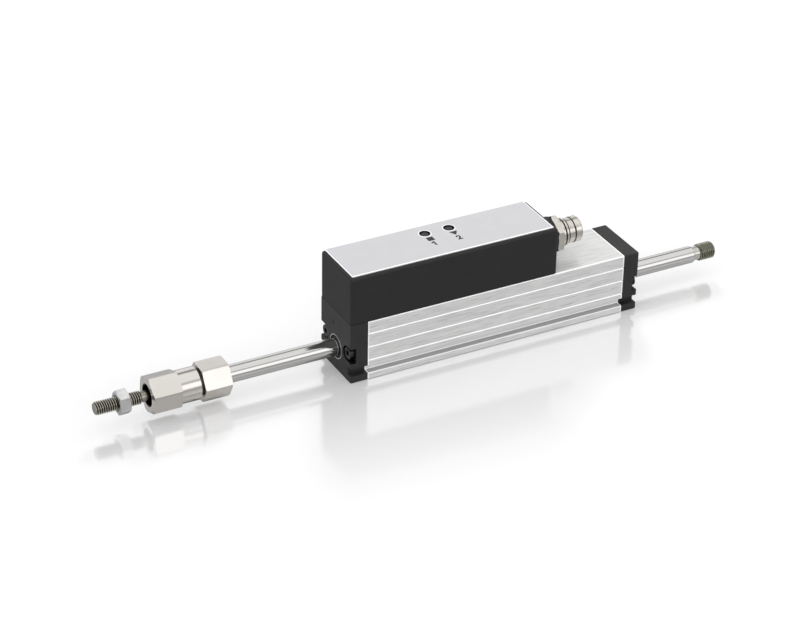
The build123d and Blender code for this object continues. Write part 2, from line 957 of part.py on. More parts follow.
def make_connector_insert():
    x_pair = (insert_inner_end, insert_face)
    insert = bar_x(connector_bore_radius - insert_clearance, x_pair, 0, connector_z)
    key_top = connector_z - connector_bore_radius + insert_clearance
    key_pair = (insert_face, connector_end - contact_recess)
    key = block(key_pair, (-key_width / 2, key_width / 2), (key_top, key_top + key_height))
    key &= bar_x(connector_bore_radius - insert_clearance, key_pair, 0, connector_z)
    insert += key
    for y, z in contact_places():
        hole = (insert_inner_end - cut_margin, insert_face + cut_margin)
        insert -= bar_x(contact_radius, hole, y, z)
    return insert


def make_contact_pins():
    pins = []
    for y, z in contact_places():
        tip = connector_end - contact_recess
        pins.append(bar_x(contact_radius, (terminal_back - pin_stub, tip), y, z))
    return Compound(children=pins)


def make_connector_seal():
    seat = (hex_start - seal_thickness, hex_start)
    return ring_x(seal_inner_radius, seal_outer_radius, seat, connector_z)


def make_connector_locknut():
    x_pair = (wall_inside - locknut_thickness, wall_inside)
    nut = hex_bar(locknut_flats, x_pair, 0, connector_z)
    hole = (x_pair[0] - cut_margin, x_pair[1] + cut_margin)
    return nut - bar_x(connector_thread_radius, hole, 0, connector_z)


# Terminal board that takes the contacts, and its angled pins to the electronics board
def bridge_pin_rows():
    first = -(bridge_pin_count - 1) * bridge_pitch / 2
    return [first + number * bridge_pitch for number in range(bridge_pin_count)]


def bridge_pin_feet(gap, bottom, top):
    half = bridge_pin_width / 2 + gap
    x = board_rear - bridge_from_edge
    return [block((x - half, x + half), (y - half, y + half), (bottom, top)) for y in bridge_pin_rows()]


def bridge_pin_arms(gap, start, end):
    half = bridge_pin_width / 2 + gap
    z = board_top + bridge_drop
    return [block((start, end), (y - half, y + half), (z - half, z + half)) for y in bridge_pin_rows()]


def make_terminal_board():
    board = block(
        (terminal_back, terminal_front),
        (-terminal_width / 2, terminal_width / 2),
        (connector_z - terminal_below, board_top + terminal_above),
    )
    hole = (terminal_back - cut_margin, terminal_front + cut_margin)
    for y, z in contact_places():
        board -= bar_x(contact_radius + pin_hole_clearance, hole, y, z)
    return board - bridge_pin_arms(pin_hole_clearance, *hole)


def make_bridge_pins():
    half = bridge_pin_width / 2
    foot_x = board_rear - bridge_from_edge
    feet = bridge_pin_feet(0, board_bottom - pin_stub, board_top + bridge_drop + half)
    arms = bridge_pin_arms(0, foot_x - half, terminal_front + pin_stub)
    return Compound(children=[foot + arm for foot, arm in zip(feet, arms)])


# Ball coupling: body, plug, liner, pressure piece and disc springs
def make_coupling_body():
    x_pair = (coupling_face, neck_front)
    body = hex_bar(coupling_flats, x_pair, coupling_hex_turn, rod_z)
    body &= hex_envelope(coupling_flats, x_pair, (hex_chamfer, hex_chamfer), rod_z)
    body += bar_x(coupling_neck_radius, (neck_front - hex_chamfer, neck_rear), 0, rod_z)
    face = coupling_face - ball_x
    bore = section_rectangle((face - cut_margin, 0), (-mouth_radius, mouth_radius))
    bore += Circle(seat_radius)
    chamber = (bore_step, neck_rear - ball_x + cut_margin)
    bore += section_rectangle(chamber, (-chamber_radius, chamber_radius))
    body -= turned_sketch(bore, ball_x, rod_z)
    mouth = [
        (coupling_face - mouth_chamfer, 0),
        (coupling_face - mouth_chamfer, mouth_radius + 2 * mouth_chamfer),
        (coupling_face + mouth_chamfer, mouth_radius),
        (coupling_face + mouth_chamfer, 0),
    ]
    body -= turned(mouth, rod_z)
    return body


def make_coupling_plug():
    x_pair = (plug_front, plug_rear)
    plug = hex_bar(coupling_flats, x_pair, plug_hex_turn, rod_z)
    plug &= hex_envelope(coupling_flats, x_pair, (hex_chamfer, hex_chamfer), rod_z)
    thread_radius = chamber_radius - thread_clearance
    plug += bar_x(thread_radius, (plug_thread_end, plug_front + hex_chamfer), 0, rod_z)
    hole = (rod_front - plug_blind, plug_rear + cut_margin)
    return plug - bar_x(rod_radius + thread_clearance, hole, 0, rod_z)


def make_ball_liner():
    shell = Circle(liner_outer) - Circle(seat_radius)
    shell &= section_rectangle((liner_rim, liner_outer + cut_margin), (-liner_outer, liner_outer))
    return turned_sketch(shell, ball_x, rod_z)


def make_pressure_piece():
    piece_radius = chamber_radius - pressure_clearance
    x_pair = (pressure_front, pressure_front + pressure_length)
    piece = section_rectangle(x_pair, (-piece_radius, piece_radius))
    piece -= Circle(liner_outer + liner_clearance)
    return turned_sketch(piece, ball_x, rod_z)


def make_disc_springs():
    height = (plug_thread_end - pressure_end) / spring_count
    springs = []
    for number in range(spring_count):
        low = pressure_end + number * height
        high = low + height
        inner_low = low if number % 2 == 0 else high - spring_thickness
        outer_low = high - spring_thickness if number % 2 == 0 else low
        points = [
            (inner_low, spring_inner_radius),
            (outer_low, spring_outer_radius),
            (outer_low + spring_thickness, spring_outer_radius),
            (inner_low + spring_thickness, spring_inner_radius),
        ]
        springs.append(turned(points, rod_z))
    return Compound(children=springs)


# Ball stud and lock nut
def make_ball_stud():
    thread_start = stud_thread_start - ball_x
    end = stud_end - ball_x
    stud = section_rectangle((thread_start, 0), (-stud_neck_radius, stud_neck_radius))
    stud += Circle(ball_radius)
    tip = stud_thread_radius - stud_tip_chamfer
    thread = [
        (end, 0),
        (end, tip),
        (end + stud_tip_length, stud_thread_radius),
        (nut_front - ball_x, stud_thread_radius),
        (nut_front - ball_x, stud_engaged_radius),
        (nut_rear - ball_x, stud_engaged_radius),
        (nut_rear - ball_x, stud_thread_radius),
        (thread_start, stud_thread_radius),
        (thread_start, 0),
    ]
    stud += make_face(Polyline(*thread, close=True))
    return turned_sketch(stud, ball_x, rod_z)


def make_stud_nut():
    x_pair = (nut_front, nut_rear)
    nut = hex_bar(nut_flats, x_pair, nut_turn, rod_z)
    nut &= hex_envelope(nut_flats, x_pair, (nut_chamfer, nut_chamfer), rod_z)
    hole = (nut_front - cut_margin, nut_rear + cut_margin)
    return nut - bar_x(stud_engaged_radius + thread_clearance, hole, 0, rod_z)


pieces = {
    "profile": make_profile(),
    "front_cap": make_front_cap(),
    "rear_cap": make_rear_cap(),
    "front_cap_gasket": make_cap_gasket(profile_front, 1),
    "rear_cap_gasket": make_cap_gasket(profile_rear, -1),
    "front_cap_screws": make_cap_screws(front_x, profile_front),
    "rear_cap_screws": make_cap_screws(rear_x, profile_rear),
    "front_wiper_case": make_wiper_case(front_x, 1),
    "rear_wiper_case": make_wiper_case(rear_x, -1),
    "front_wiper": make_wiper(front_x, 1),
    "rear_wiper": make_wiper(rear_x, -1),
    "front_bush": make_bush(-1),
    "rear_bush": make_bush(1),
    "end_buffers": make_end_buffers(),
    "rod": make_rod(),
    "retaining_rings": make_retaining_rings(),
    "thrust_washers": make_thrust_washers(),
    "target_carriage": make_target_carriage(),
    "target_plate": make_target_plate(),
    "target_screws": make_target_screws(),
    "coil_board": make_coil_board(),
    "coil_board_chips": make_coil_board_chips(),
    "link_header": make_link_header(),
    "link_pins": make_link_pins(),
    "electronics_housing": make_electronics_housing(),
    "housing_gasket": make_housing_gasket(),
    "housing_screws": make_housing_screws(),
    "label_plate": make_label_plate(),
    "electronics_board": make_electronics_board(),
    "board_screws": make_board_screws(),
    "processor_chip": make_processor_chip(),
    "power_inductor": make_power_inductor(),
    "board_capacitors": make_board_capacitors(),
    "switch_bodies": make_switch_bodies(),
    "button_1": make_button(button_places[0]),
    "button_2": make_button(button_places[1]),
    "plunger_1": make_plunger(button_places[0]),
    "plunger_2": make_plunger(button_places[1]),
    "connector_shell": make_connector_shell(),
    "connector_insert": make_connector_insert(),
    "contact_pins": make_contact_pins(),
    "connector_seal": make_connector_seal(),
    "connector_locknut": make_connector_locknut(),
    "terminal_board": make_terminal_board(),
    "bridge_pins": make_bridge_pins(),
    "coupling_body": make_coupling_body(),
    "coupling_plug": make_coupling_plug(),
    "ball_liner": make_ball_liner(),
    "pressure_piece": make_pressure_piece(),
    "disc_springs": make_disc_springs(),
    "ball_stud": make_ball_stud(),
    "stud_nut": make_stud_nut(),
}

os.makedirs("parts", exist_ok=True)
for node, shape in pieces.items():
    export_step(shape, f"parts/{node}.step")
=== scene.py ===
import math
import bmesh
import bpy
from mathutils import Matrix, Vector


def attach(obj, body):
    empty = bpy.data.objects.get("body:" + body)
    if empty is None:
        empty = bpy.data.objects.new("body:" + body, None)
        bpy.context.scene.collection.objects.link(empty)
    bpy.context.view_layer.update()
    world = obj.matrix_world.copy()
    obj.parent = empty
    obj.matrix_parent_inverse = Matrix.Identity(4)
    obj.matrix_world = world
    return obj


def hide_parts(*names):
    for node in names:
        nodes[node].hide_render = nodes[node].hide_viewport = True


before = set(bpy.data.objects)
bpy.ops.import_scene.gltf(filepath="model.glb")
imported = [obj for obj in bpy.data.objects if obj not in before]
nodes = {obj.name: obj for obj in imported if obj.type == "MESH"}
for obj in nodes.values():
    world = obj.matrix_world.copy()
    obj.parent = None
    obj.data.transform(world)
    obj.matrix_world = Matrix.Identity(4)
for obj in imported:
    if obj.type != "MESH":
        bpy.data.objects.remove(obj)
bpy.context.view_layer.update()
mm = 0.001
rodHeight = 11.4        # height of the rod's axis over the floor, mm
connectorHeight = 41.0  # height of the connector's axis
lap = 2.0               # how far a part reaches into the one it is joined to, mm
clear = 1.0             # how far a cutter stands out of what it cuts
skin = 0.05             # play between a thread's crests and its envelope, and round faces that are picked
hair = 0.01             # play where faces lie on a limit
roundSides = 96         # sides of a large turned piece
print("frame loaded,", len(nodes), "nodes")


# small helpers
def colour(tone):
    if not isinstance(tone, str):
        return (tone, tone, tone, 1.0)
    shares = [int(tone[place:place + 2], 16) / 255 for place in (1, 3, 5)]
    linear = [s / 12.92 if s <= 0.04045 else ((s + 0.055) / 1.055) ** 2.4 for s in shares]
    return (*linear, 1.0)


# a node with its settings and links; stops are a colour ramp's places and tones
def addNode(tree, kind, settings=None, links=None):
    node = tree.nodes.new(kind)
    for name, value in (settings or {}).items():
        if name == "stops":
            points = node.color_ramp.elements
            while len(points) < len(value):
                points.new(0.5)
            for point, (place, tone) in zip(points, value):
                point.position, point.color = place, colour(tone)
        elif isinstance(name, str) and hasattr(node, name):
            setattr(node, name, value)
        else:
            node.inputs[name].default_value = value
    for name, source in (links or {}).items():
        tree.links.new(source, node.inputs[name])
    return node


def startMaterial(name):
    material = bpy.data.materials.new(name)
    material.use_nodes = True
    material.node_tree.nodes.clear()
    return material, material.node_tree


def finishMaterial(tree, shader):
    addNode(tree, "ShaderNodeOutputMaterial", {}, {"Surface": shader.outputs[0]})


# each zone gets its colour; its limits are (axis, middle, half width) in mm, or ("round", centre, reach)
def paintZones(tree, place, tone, zones):
    parts = addNode(tree, "ShaderNodeSeparateXYZ", {}, {"Vector": place})
    painted = None
    for zoneColour, *limits in zones:
        inside = None
        for axis, middle, half in limits:
            if axis == "round":
                apart = addNode(tree, "ShaderNodeVectorMath", {"operation": "DISTANCE", 1: Vector(middle) * mm},
                                {0: place})
                source, middle = apart.outputs["Value"], 0.0
            else:
                source = parts.outputs[axis]
            near = addNode(tree, "ShaderNodeMath", {"operation": "COMPARE", 1: middle * mm, 2: half * mm},
                           {0: source})
            inside = near.outputs[0] if inside is None else addNode(
                tree, "ShaderNodeMath", {"operation": "MULTIPLY"}, {0: inside, 1: near.outputs[0]}).outputs[0]
        tone = addNode(tree, "ShaderNodeMix", {"data_type": "RGBA", 7: colour(zoneColour)},
                       {0: inside, 6: tone}).outputs[2]
        painted = inside if painted is None else addNode(
            tree, "ShaderNodeMath", {"operation": "MAXIMUM"}, {0: painted, 1: inside}).outputs[0]
    return tone, painted


# metal drawn or brushed along X: fine streaks, darker dashes, and zones of painted highlight and painted shade
def drawnMetal(name, finish):
    material, tree = startMaterial(name)
    place = addNode(tree, "ShaderNodeTexCoord").outputs["Object"]
    across = 1 / (finish["streak"] * mm)
    along = 1 / (finish["streakLength"] * mm)
    stretched = addNode(tree, "ShaderNodeMapping", {"Scale": (along, across, across)}, {"Vector": place})
    streaks = addNode(tree, "ShaderNodeTexNoise", {"Scale": 1.0, "Detail": 3.0, "Roughness": 0.6},
                      {"Vector": stretched.outputs[0]}).outputs["Fac"]
    cloudy = addNode(tree, "ShaderNodeTexNoise", {"Scale": 1 / (finish["cloud"] * mm), "Detail": 2.0},
                     {"Vector": place}).outputs["Fac"]
    cloudShare = 0.25
    mixed = addNode(tree, "ShaderNodeMath", {"operation": "MULTIPLY_ADD", 1: cloudShare}, {0: cloudy, 2: streaks})
    tone = addNode(tree, "ShaderNodeValToRGB", {"stops": [(0.42, finish["dark"]), (0.82, finish["light"])]},
                   {"Fac": mixed.outputs[0]}).outputs["Color"]
    if "dashes" in finish:
        share, dashColour = finish["dashes"]
        finer = addNode(tree, "ShaderNodeMapping", {
            "Location": (0.7, 0.3, 0.1), "Scale": (along * 1.4, across * 1.1, across * 1.1)}, {"Vector": place})
        dashes = addNode(tree, "ShaderNodeTexNoise", {"Scale": 1.0, "Detail": 1.0},
                         {"Vector": finer.outputs[0]}).outputs["Fac"]
        dashes = addNode(tree, "ShaderNodeMapRange", {"From Min": 0.58, "From Max": 0.68, "To Max": share},
                         {"Value": dashes}).outputs[0]
        tone = addNode(tree, "ShaderNodeMix", {"data_type": "RGBA", 7: colour(dashColour)},
                       {0: dashes, 6: tone}).outputs[2]
    rough = addNode(tree, "ShaderNodeMapRange", {"To Min": finish["rough"] - 0.05, "To Max": finish["rough"] + 0.07},
                    {"Value": streaks})
    bump = addNode(tree, "ShaderNodeBump", {"Strength": finish["bump"], "Distance": 0.02 * mm}, {"Height": streaks})
    shader = addNode(tree, "ShaderNodeBsdfPrincipled", {"Metallic": finish["metallic"]},
                     {"Roughness": rough.outputs[0], "Normal": bump.outputs[0]})
    if "zones" in finish:
        tone, painted = paintZones(tree, place, tone, finish["zones"])
        metallic = addNode(tree, "ShaderNodeMapRange", {
            "To Min": finish["metallic"], "To Max": finish["zoneMetallic"]}, {"Value": painted})
        tree.links.new(metallic.outputs[0], shader.inputs["Metallic"])
    tree.links.new(tone, shader.inputs["Base Color"])
    finishMaterial(tree, shader)
    return material


# metal turned on a lathe: tool marks run round the axis, on the end faces too, and the tone may change with the
# radius; real marks are about 0.1 mm apart and are drawn coarser, so that they show
def turnedMetal(name, finish):
    material, tree = startMaterial(name)
    place = addNode(tree, "ShaderNodeTexCoord").outputs["Object"]
    axisHeight = finish.get("axisHeight", rodHeight)
    centred = addNode(tree, "ShaderNodeMapping", {"Location": (0, 0, -axisHeight * mm)}, {"Vector": place})
    parts = addNode(tree, "ShaderNodeSeparateXYZ", {}, {"Vector": centred.outputs[0]})
    flat = addNode(tree, "ShaderNodeCombineXYZ", {}, {"Y": parts.outputs["Y"], "Z": parts.outputs["Z"]})
    radius = addNode(tree, "ShaderNodeVectorMath", {"operation": "LENGTH"}, {0: flat.outputs[0]}).outputs["Value"]
    walk = addNode(tree, "ShaderNodeMath", {"operation": "ADD"}, {0: parts.outputs["X"], 1: radius}).outputs[0]
    marks = addNode(tree, "ShaderNodeTexNoise", {"noise_dimensions": "1D", "Scale": 1 / (finish["toolMark"] * mm),
                                                 "Detail": 2.0}, {"W": walk}).outputs["Fac"]
    cloudy = addNode(tree, "ShaderNodeTexNoise", {"Scale": 1 / (finish["cloud"] * mm), "Detail": 2.0},
                     {"Vector": place}).outputs["Fac"]
    tone = addNode(tree, "ShaderNodeValToRGB", {"stops": [(0.3, finish["dark"]), (0.7, finish["light"])]},
                   {"Fac": cloudy}).outputs["Color"]
    # darker inside a radius: painted shade in bores, grooves and thread roots
    if "inner" in finish:
        innerShadeColour, innerEnd, outerStart = finish["inner"]
        inner = addNode(tree, "ShaderNodeMapRange", {
            "From Min": innerEnd * mm, "From Max": outerStart * mm, "To Min": 1.0, "To Max": 0.0}, {"Value": radius})
        tone = addNode(tree, "ShaderNodeMix", {"data_type": "RGBA", 7: colour(innerShadeColour)},
                       {0: inner.outputs[0], 6: tone}).outputs[2]
    rough = addNode(tree, "ShaderNodeMapRange", {"To Min": finish["rough"] - 0.03, "To Max": finish["rough"] + 0.05},
                    {"Value": marks})
    bump = addNode(tree, "ShaderNodeBump", {"Strength": finish["bump"], "Distance": 0.01 * mm}, {"Height": marks})
    shader = addNode(tree, "ShaderNodeBsdfPrincipled", {"Metallic": 1.0}, {
        "Base Color": tone, "Roughness": rough.outputs[0], "Normal": bump.outputs[0]})
    finishMaterial(tree, shader)
    return material


# moulded plastic or rubber: spark-eroded mould grain and a faint flow mottle; the real grain is about 0.05 mm and
# is drawn coarser, so that it shows
def mouldedSurface(name, finish):
    material, tree = startMaterial(name)
    place = addNode(tree, "ShaderNodeTexCoord").outputs["Object"]
    grain = addNode(tree, "ShaderNodeTexNoise", {"Scale": 1 / (finish["grain"] * mm), "Detail": 2.0},
                    {"Vector": place}).outputs["Fac"]
    mottle = addNode(tree, "ShaderNodeTexNoise", {"Scale": 1 / (finish["mottle"] * mm), "Detail": 4.0},
                     {"Vector": place}).outputs["Fac"]
    tone = addNode(tree, "ShaderNodeValToRGB", {"stops": [(0.3, finish["dark"]), (0.7, finish["light"])]},
                   {"Fac": mottle}).outputs["Color"]
    if "zones" in finish:  # zones of painted shade; one zone serves both sides and both ends
        folded = addNode(tree, "ShaderNodeVectorMath", {"operation": "ABSOLUTE"}, {0: place})
        tone = paintZones(tree, folded.outputs["Vector"], tone, finish["zones"])[0]
    rough = addNode(tree, "ShaderNodeMapRange", {"To Min": finish["rough"] - 0.05, "To Max": finish["rough"] + 0.06},
                    {"Value": grain})
    bump = addNode(tree, "ShaderNodeBump", {"Strength": finish["bump"], "Distance": 0.03 * mm}, {"Height": grain})
    shader = addNode(tree, "ShaderNodeBsdfPrincipled", {"IOR": finish["ior"], "Specular IOR Level": finish["gloss"]},
                     {"Base Color": tone, "Roughness": rough.outputs[0], "Normal": bump.outputs[0]})
    finishMaterial(tree, shader)
    return material


# circuit board: green solder resist over copper tracks on woven glass
def printedBoard(name, finish):
    material, tree = startMaterial(name)
    place = addNode(tree, "ShaderNodeTexCoord").outputs["Object"]
    tracks = addNode(tree, "ShaderNodeTexBrick", {
        "offset": 0.5, "Scale": 1 / (finish["trackGap"] * mm), "Mortar Size": 0.03, "Color1": (0, 0, 0, 1),
        "Color2": (0, 0, 0, 1), "Mortar": (1, 1, 1, 1)}, {"Vector": place}).outputs["Color"]
    weave = addNode(tree, "ShaderNodeTexWave", {"Scale": 1 / (finish["weave"] * mm), "Distortion": 1.0},
                    {"Vector": place}).outputs["Fac"]
    resist = addNode(tree, "ShaderNodeValToRGB", {"stops": [(0.3, finish["dark"]), (0.7, finish["light"])]},
                     {"Fac": weave})
    colours = addNode(tree, "ShaderNodeMix", {"data_type": "RGBA", 7: colour(finish["overCopper"])},
                      {0: tracks, 6: resist.outputs["Color"]})
    rough = addNode(tree, "ShaderNodeMapRange", {"To Min": 0.25, "To Max": 0.38}, {"Value": weave})
    bump = addNode(tree, "ShaderNodeBump", {"Strength": 0.25, "Distance": 0.03 * mm}, {"Height": tracks})
    shader = addNode(tree, "ShaderNodeBsdfPrincipled", {"IOR": 1.5}, {
        "Base Color": colours.outputs[2], "Roughness": rough.outputs[0], "Normal": bump.outputs[0]})
    finishMaterial(tree, shader)
    return material


# painted highlights: bright lines along the score lines, the top edge, the groove's lip and both ends
highlightEdges = [("Z", 9.9, 0.32), ("Z", 16.6, 0.32), ("Z", 23.3, 0.32),  # score lines
            ("Z", 29.2, 0.28), ("Z", 3.2, 0.28), ("X", -64.85, 0.5), ("X", 65.45, 0.5)]  # top, groove's lip and ends
extrudedAluminium = drawnMetal("anodisedAluminiumExtruded", {
    "dark": "#D8D8D7", "light": "#E8E8E7", "streak": 0.35, "streakLength": 14.0, "cloud": 9.0, "bump": 0.15,
    "rough": 0.42, "metallic": 0.5, "zoneMetallic": 0.15, "dashes": (0.6, "#ACACAB"), "zones": [
        ("#A8A8A8", ("Z", 3.6, 0.35), ("Y", 0.0, 14.3)),  # painted shade on the floor of the clamp groove
        ("#D9D9D9", ("Z", 5.5, 1.95), ("Y", 0.0, 12.0)),  # its inner wall, painted lighter against the shade it lies in
        ("#FFFFFF", ("Z", 3.8, 0.25), ("Y", 0.0, 12.0)),  # painted highlight at the foot of that wall
        ("#9C9C9C", ("Z", 0.0, 0.4)),                     # painted shade along the foot of the whole side
        *(("#FBFBFB", edge) for edge in highlightEdges)]})  # satin, with die lines along X, painted highlights on its edges and painted shade at the groove and foot
# painted highlights: white lines along the near edge, both ends and round each button well
foilHighlightEdges = [("Y", -12.3, 0.5), ("X", -71.65, 0.35), ("X", 28.25, 0.35),
             ("round", (-25.8, 7.6, 52.5), 2.95), ("round", (-13.75, 7.6, 52.5), 2.95)]
filmFoil = drawnMetal("silverPolyesterFoil", {
    "dark": "#C3C3C6", "light": "#CBCBCE", "streak": 0.3, "streakLength": 0.5, "cloud": 6.0, "bump": 0.06,
    "rough": 0.5, "metallic": 0.3, "zoneMetallic": 0.15,
    "zones": [("#FFFFFF", edge) for edge in foilHighlightEdges]})  # even matt silver with painted highlights along its edges
milledAluminium = drawnMetal("aluminiumMilled", {
    "dark": "#C4C4C6", "light": "#DEDEE0", "streak": 0.2, "streakLength": 4.0, "cloud": 5.0, "bump": 0.3,
    "rough": 0.3, "metallic": 1.0, "dashes": (0.3, "#A8A8AA")})  # bright cutter lines
groundSteel = drawnMetal("stainlessSteelGround", {
    "dark": "#D0CFCD", "light": "#DAD9D7", "streak": 0.15, "streakLength": 30.0, "cloud": 8.0, "bump": 0.06,
    "rough": 0.1, "metallic": 1.0, "dashes": (0.2, "#B8B7B4")})  # mirror-like, with long faint draw lines
goldPlated = drawnMetal("brassGoldPlated", {
    "dark": "#C59A3D", "light": "#E0BC66", "streak": 0.1, "streakLength": 1.0, "cloud": 1.0, "bump": 0.1,
    "rough": 0.22, "metallic": 1.0, "dashes": (0.1, "#A87F2A")})  # warm yellow, smooth
nickelTurned = turnedMetal("nickelPlatedBrassTurned", {
    "dark": "#DAD6D0", "light": "#E0DCD7", "toolMark": 0.3, "cloud": 12.0, "bump": 0.05, "rough": 0.17,
    "inner": ("#191817", 5.2, 5.35)})  # warm bright plate, dark inside the bore: painted shade
nickelConnector = turnedMetal("nickelPlatedBrassConnector", {
    "dark": "#CFCBC2", "light": "#DCD8D0", "toolMark": 0.25, "cloud": 4.0, "bump": 0.12, "rough": 0.24,
    "axisHeight": connectorHeight, "inner": ("#55524C", 4.3, 4.6)})  # the same plate round the connector's own axis, dark inside the bore: painted shade
nickelGrooveShade = turnedMetal("nickelPlatePaintedShade", {
    "dark": "#45423C", "light": "#5A564F", "toolMark": 0.2, "cloud": 1.0, "bump": 0.2, "rough": 0.5,
    "axisHeight": connectorHeight, "inner": ("#35332E", 5.3, 5.9)})  # a darker copy of the plate: painted shade at the bottom of a groove
studThread = turnedMetal("steelThreadRolledRootShade", {
    "dark": "#C4C1B5", "light": "#E2DFD5", "toolMark": 0.2, "cloud": 1.5, "bump": 0.2, "rough": 0.26,
    "inner": ("#33322B", 2.5, 2.86)})  # burnished crests over roots darkened with painted shade
rodThread = turnedMetal("steelThreadCutRootShade", {
    "dark": "#A9A899", "light": "#C1C0B1", "toolMark": 0.2, "cloud": 1.5, "bump": 0.1, "rough": 0.22,
    "inner": ("#73726A", 3.4, 3.95)})  # dark olive, finer and less worn, with painted shade in its roots
reliefSteel = turnedMetal("stainlessSteelTurnedRelief", {
    "dark": "#C2C0B8", "light": "#D2D0C9", "toolMark": 0.25, "cloud": 1.5,
    "bump": 0.15, "rough": 0.18})  # a little duller than the ground rod
neckSteel = turnedMetal("steelNeckTurned", {
    "dark": "#979589", "light": "#ABA99D", "toolMark": 0.25, "cloud": 1.5,
    "bump": 0.1, "rough": 0.2})  # greyer and darker, with one soft highlight
threadTip = turnedMetal("steelThreadTipChamfered", {
    "dark": "#93958A", "light": "#A9AB9F", "toolMark": 0.25, "cloud": 1.5,
    "bump": 0.25, "rough": 0.4})  # grey-green end face with its turning rings
zincPlated = turnedMetal("steelZincPlatedSatin", {
    "dark": "#D4D5D4", "light": "#E3E3E2", "toolMark": 0.25, "cloud": 2.5, "bump": 0.12, "rough": 0.22,
    "inner": ("#2E2E30", 3.2, 4.5)})  # light grey satin, darker towards the thread: painted shade round the stud
wiperSteel = turnedMetal("stainlessSteelPressed", {
    "dark": "#D2D2D1", "light": "#E2E2E1", "toolMark": 0.2, "cloud": 2.0, "bump": 0.15, "rough": 0.3,
    "inner": ("#3A3A3A", 5.4, 5.5)})  # thin pale pressed ring
blackScrew = turnedMetal("steelBlackOxide", {
    "dark": "#2C2C2D", "light": "#424244", "toolMark": 0.25, "cloud": 1.0,
    "bump": 0.25, "rough": 0.26})  # near black with small sharp glints
housingNylon = mouldedSurface("glassFilledNylonMoulded", {
    "dark": "#242424", "light": "#272727", "grain": 0.22, "mottle": 7.0, "bump": 0.2, "rough": 0.5,
    "ior": 1.5, "gloss": 0.22,
    "zones": [("#080808", ("X", 69.2, 4.3), ("Y", 8.0, 8.0), ("Z", 29.62, 0.25))],
})  # soft satin black with a fine even grain, with painted shade in the seam over the cap
capNylon = mouldedSurface("glassFilledNylonCap", {
    "dark": "#242424", "light": "#2A2A2A", "grain": 0.28, "mottle": 5.0, "bump": 0.28, "rough": 0.48,
    "ior": 1.5, "gloss": 0.3,
    "zones": [("#070707", ("X", 71.87, 1.27), ("Y", 10.8, 3.8), ("Z", 13.65, 3.72))],
})  # a little rougher than the housing, with painted shade making the screw pockets black
buttonPlastic = mouldedSurface("absButtonMoulded", {
    "dark": "#303031", "light": "#373738", "grain": 0.15, "mottle": 1.5, "bump": 0.2, "rough": 0.5,
    "ior": 1.5, "gloss": 0.25})  # dark grey against the black ring round it
printingInk = mouldedSurface("screenPrintedInk", {
    "dark": "#343435", "light": "#3E3E40", "grain": 0.12, "mottle": 0.8, "bump": 0.15, "rough": 0.6,
    "ior": 1.45, "gloss": 0.2})  # flat dark grey with slightly uneven cover
insertPlastic = mouldedSurface("polyamideInsertMoulded", {
    "dark": "#1D1D1E", "light": "#262627", "grain": 0.15, "mottle": 2.0, "bump": 0.15, "rough": 0.42,
    "ior": 1.5, "gloss": 0.4})  # even black with a low sheen
sliderPlastic = mouldedSurface("acetalMachined", {
    "dark": "#DAD7CE", "light": "#E6E4DC", "grain": 0.3, "mottle": 4.0, "bump": 0.15, "rough": 0.4,
    "ior": 1.48, "gloss": 0.5})  # milky white, waxy
bushPolymer = mouldedSurface("bearingPolymerMoulded", {
    "dark": "#35353A", "light": "#424248", "grain": 0.2, "mottle": 1.5, "bump": 0.2, "rough": 0.45,
    "ior": 1.5, "gloss": 0.4})  # dark grey, faintly glossy
linerPolymer = mouldedSurface("bearingLinerMoulded", {
    "dark": "#CFC8B8", "light": "#DDD7C9", "grain": 0.2, "mottle": 1.5, "bump": 0.15, "rough": 0.42,
    "ior": 1.5, "gloss": 0.4})  # pale cream, waxy
nitrileRubber = mouldedSurface("nitrileRubberMoulded", {
    "dark": "#101010", "light": "#151515", "grain": 0.18, "mottle": 2.5, "bump": 0.3, "rough": 0.68,
    "ior": 1.52, "gloss": 0.06})  # dull black, no sharp reflection
wiperRubber = mouldedSurface("polyurethaneWiperMoulded", {
    "dark": "#2A2A29", "light": "#323231", "grain": 0.15, "mottle": 1.5, "bump": 0.2, "rough": 0.5,
    "ior": 1.5, "gloss": 0.25})  # dark grey lip, a little glossier than the gaskets
chipResin = mouldedSurface("epoxyChipMoulded", {
    "dark": "#1A1A1B", "light": "#242426", "grain": 0.1, "mottle": 1.0, "bump": 0.3, "rough": 0.5,
    "ior": 1.55, "gloss": 0.4})  # matt black with a fine even grain
boardLaminate = printedBoard("glassLaminateSolderResist", {
    "dark": "#0B4A26", "light": "#12602F", "overCopper": "#2B8A4A", "trackGap": 4.0,
    "weave": 8.0})  # green gloss, lighter where copper runs under it
print("materials made")


# modelling helpers
def clearSelection():
    if bpy.context.object and bpy.context.object.mode != "OBJECT":
        bpy.ops.object.mode_set(mode="OBJECT")
    bpy.ops.object.select_all(action="DESELECT")


def pick(piece):
    clearSelection()
    piece.select_set(True)
    bpy.context.view_layer.objects.active = piece


def applyModifier(piece, modifier):
    pick(piece)
    bpy.ops.object.modifier_apply(modifier=modifier.name)


def combine(piece, other, operation):
    cut = piece.modifiers.new("cut", "BOOLEAN")
    cut.operation = operation
    cut.solver = "EXACT"
    cut.object = other
    applyModifier(piece, cut)
    bpy.data.objects.remove(other)


def smoothShade(piece):
    pick(piece)
    bpy.ops.object.shade_smooth_by_angle(angle=math.radians(28))  # edges sharper than this stay sharp


# a chain of vertices, drawn corner by corner in edit mode
def drawChain(name, corners):
    clearSelection()
    bpy.ops.mesh.primitive_plane_add(size=mm)
    piece = bpy.context.object
    piece.name = name
    bpy.ops.object.mode_set(mode="EDIT")
    bpy.ops.mesh.select_mode(type="VERT")
    bpy.ops.mesh.merge(type="CENTER")
    bpy.ops.transform.translate(value=corners[0])
    for before, after in zip(corners, corners[1:]):
        bpy.ops.mesh.extrude_region_move(TRANSFORM_OT_translate={"value": after - before})
    return piece


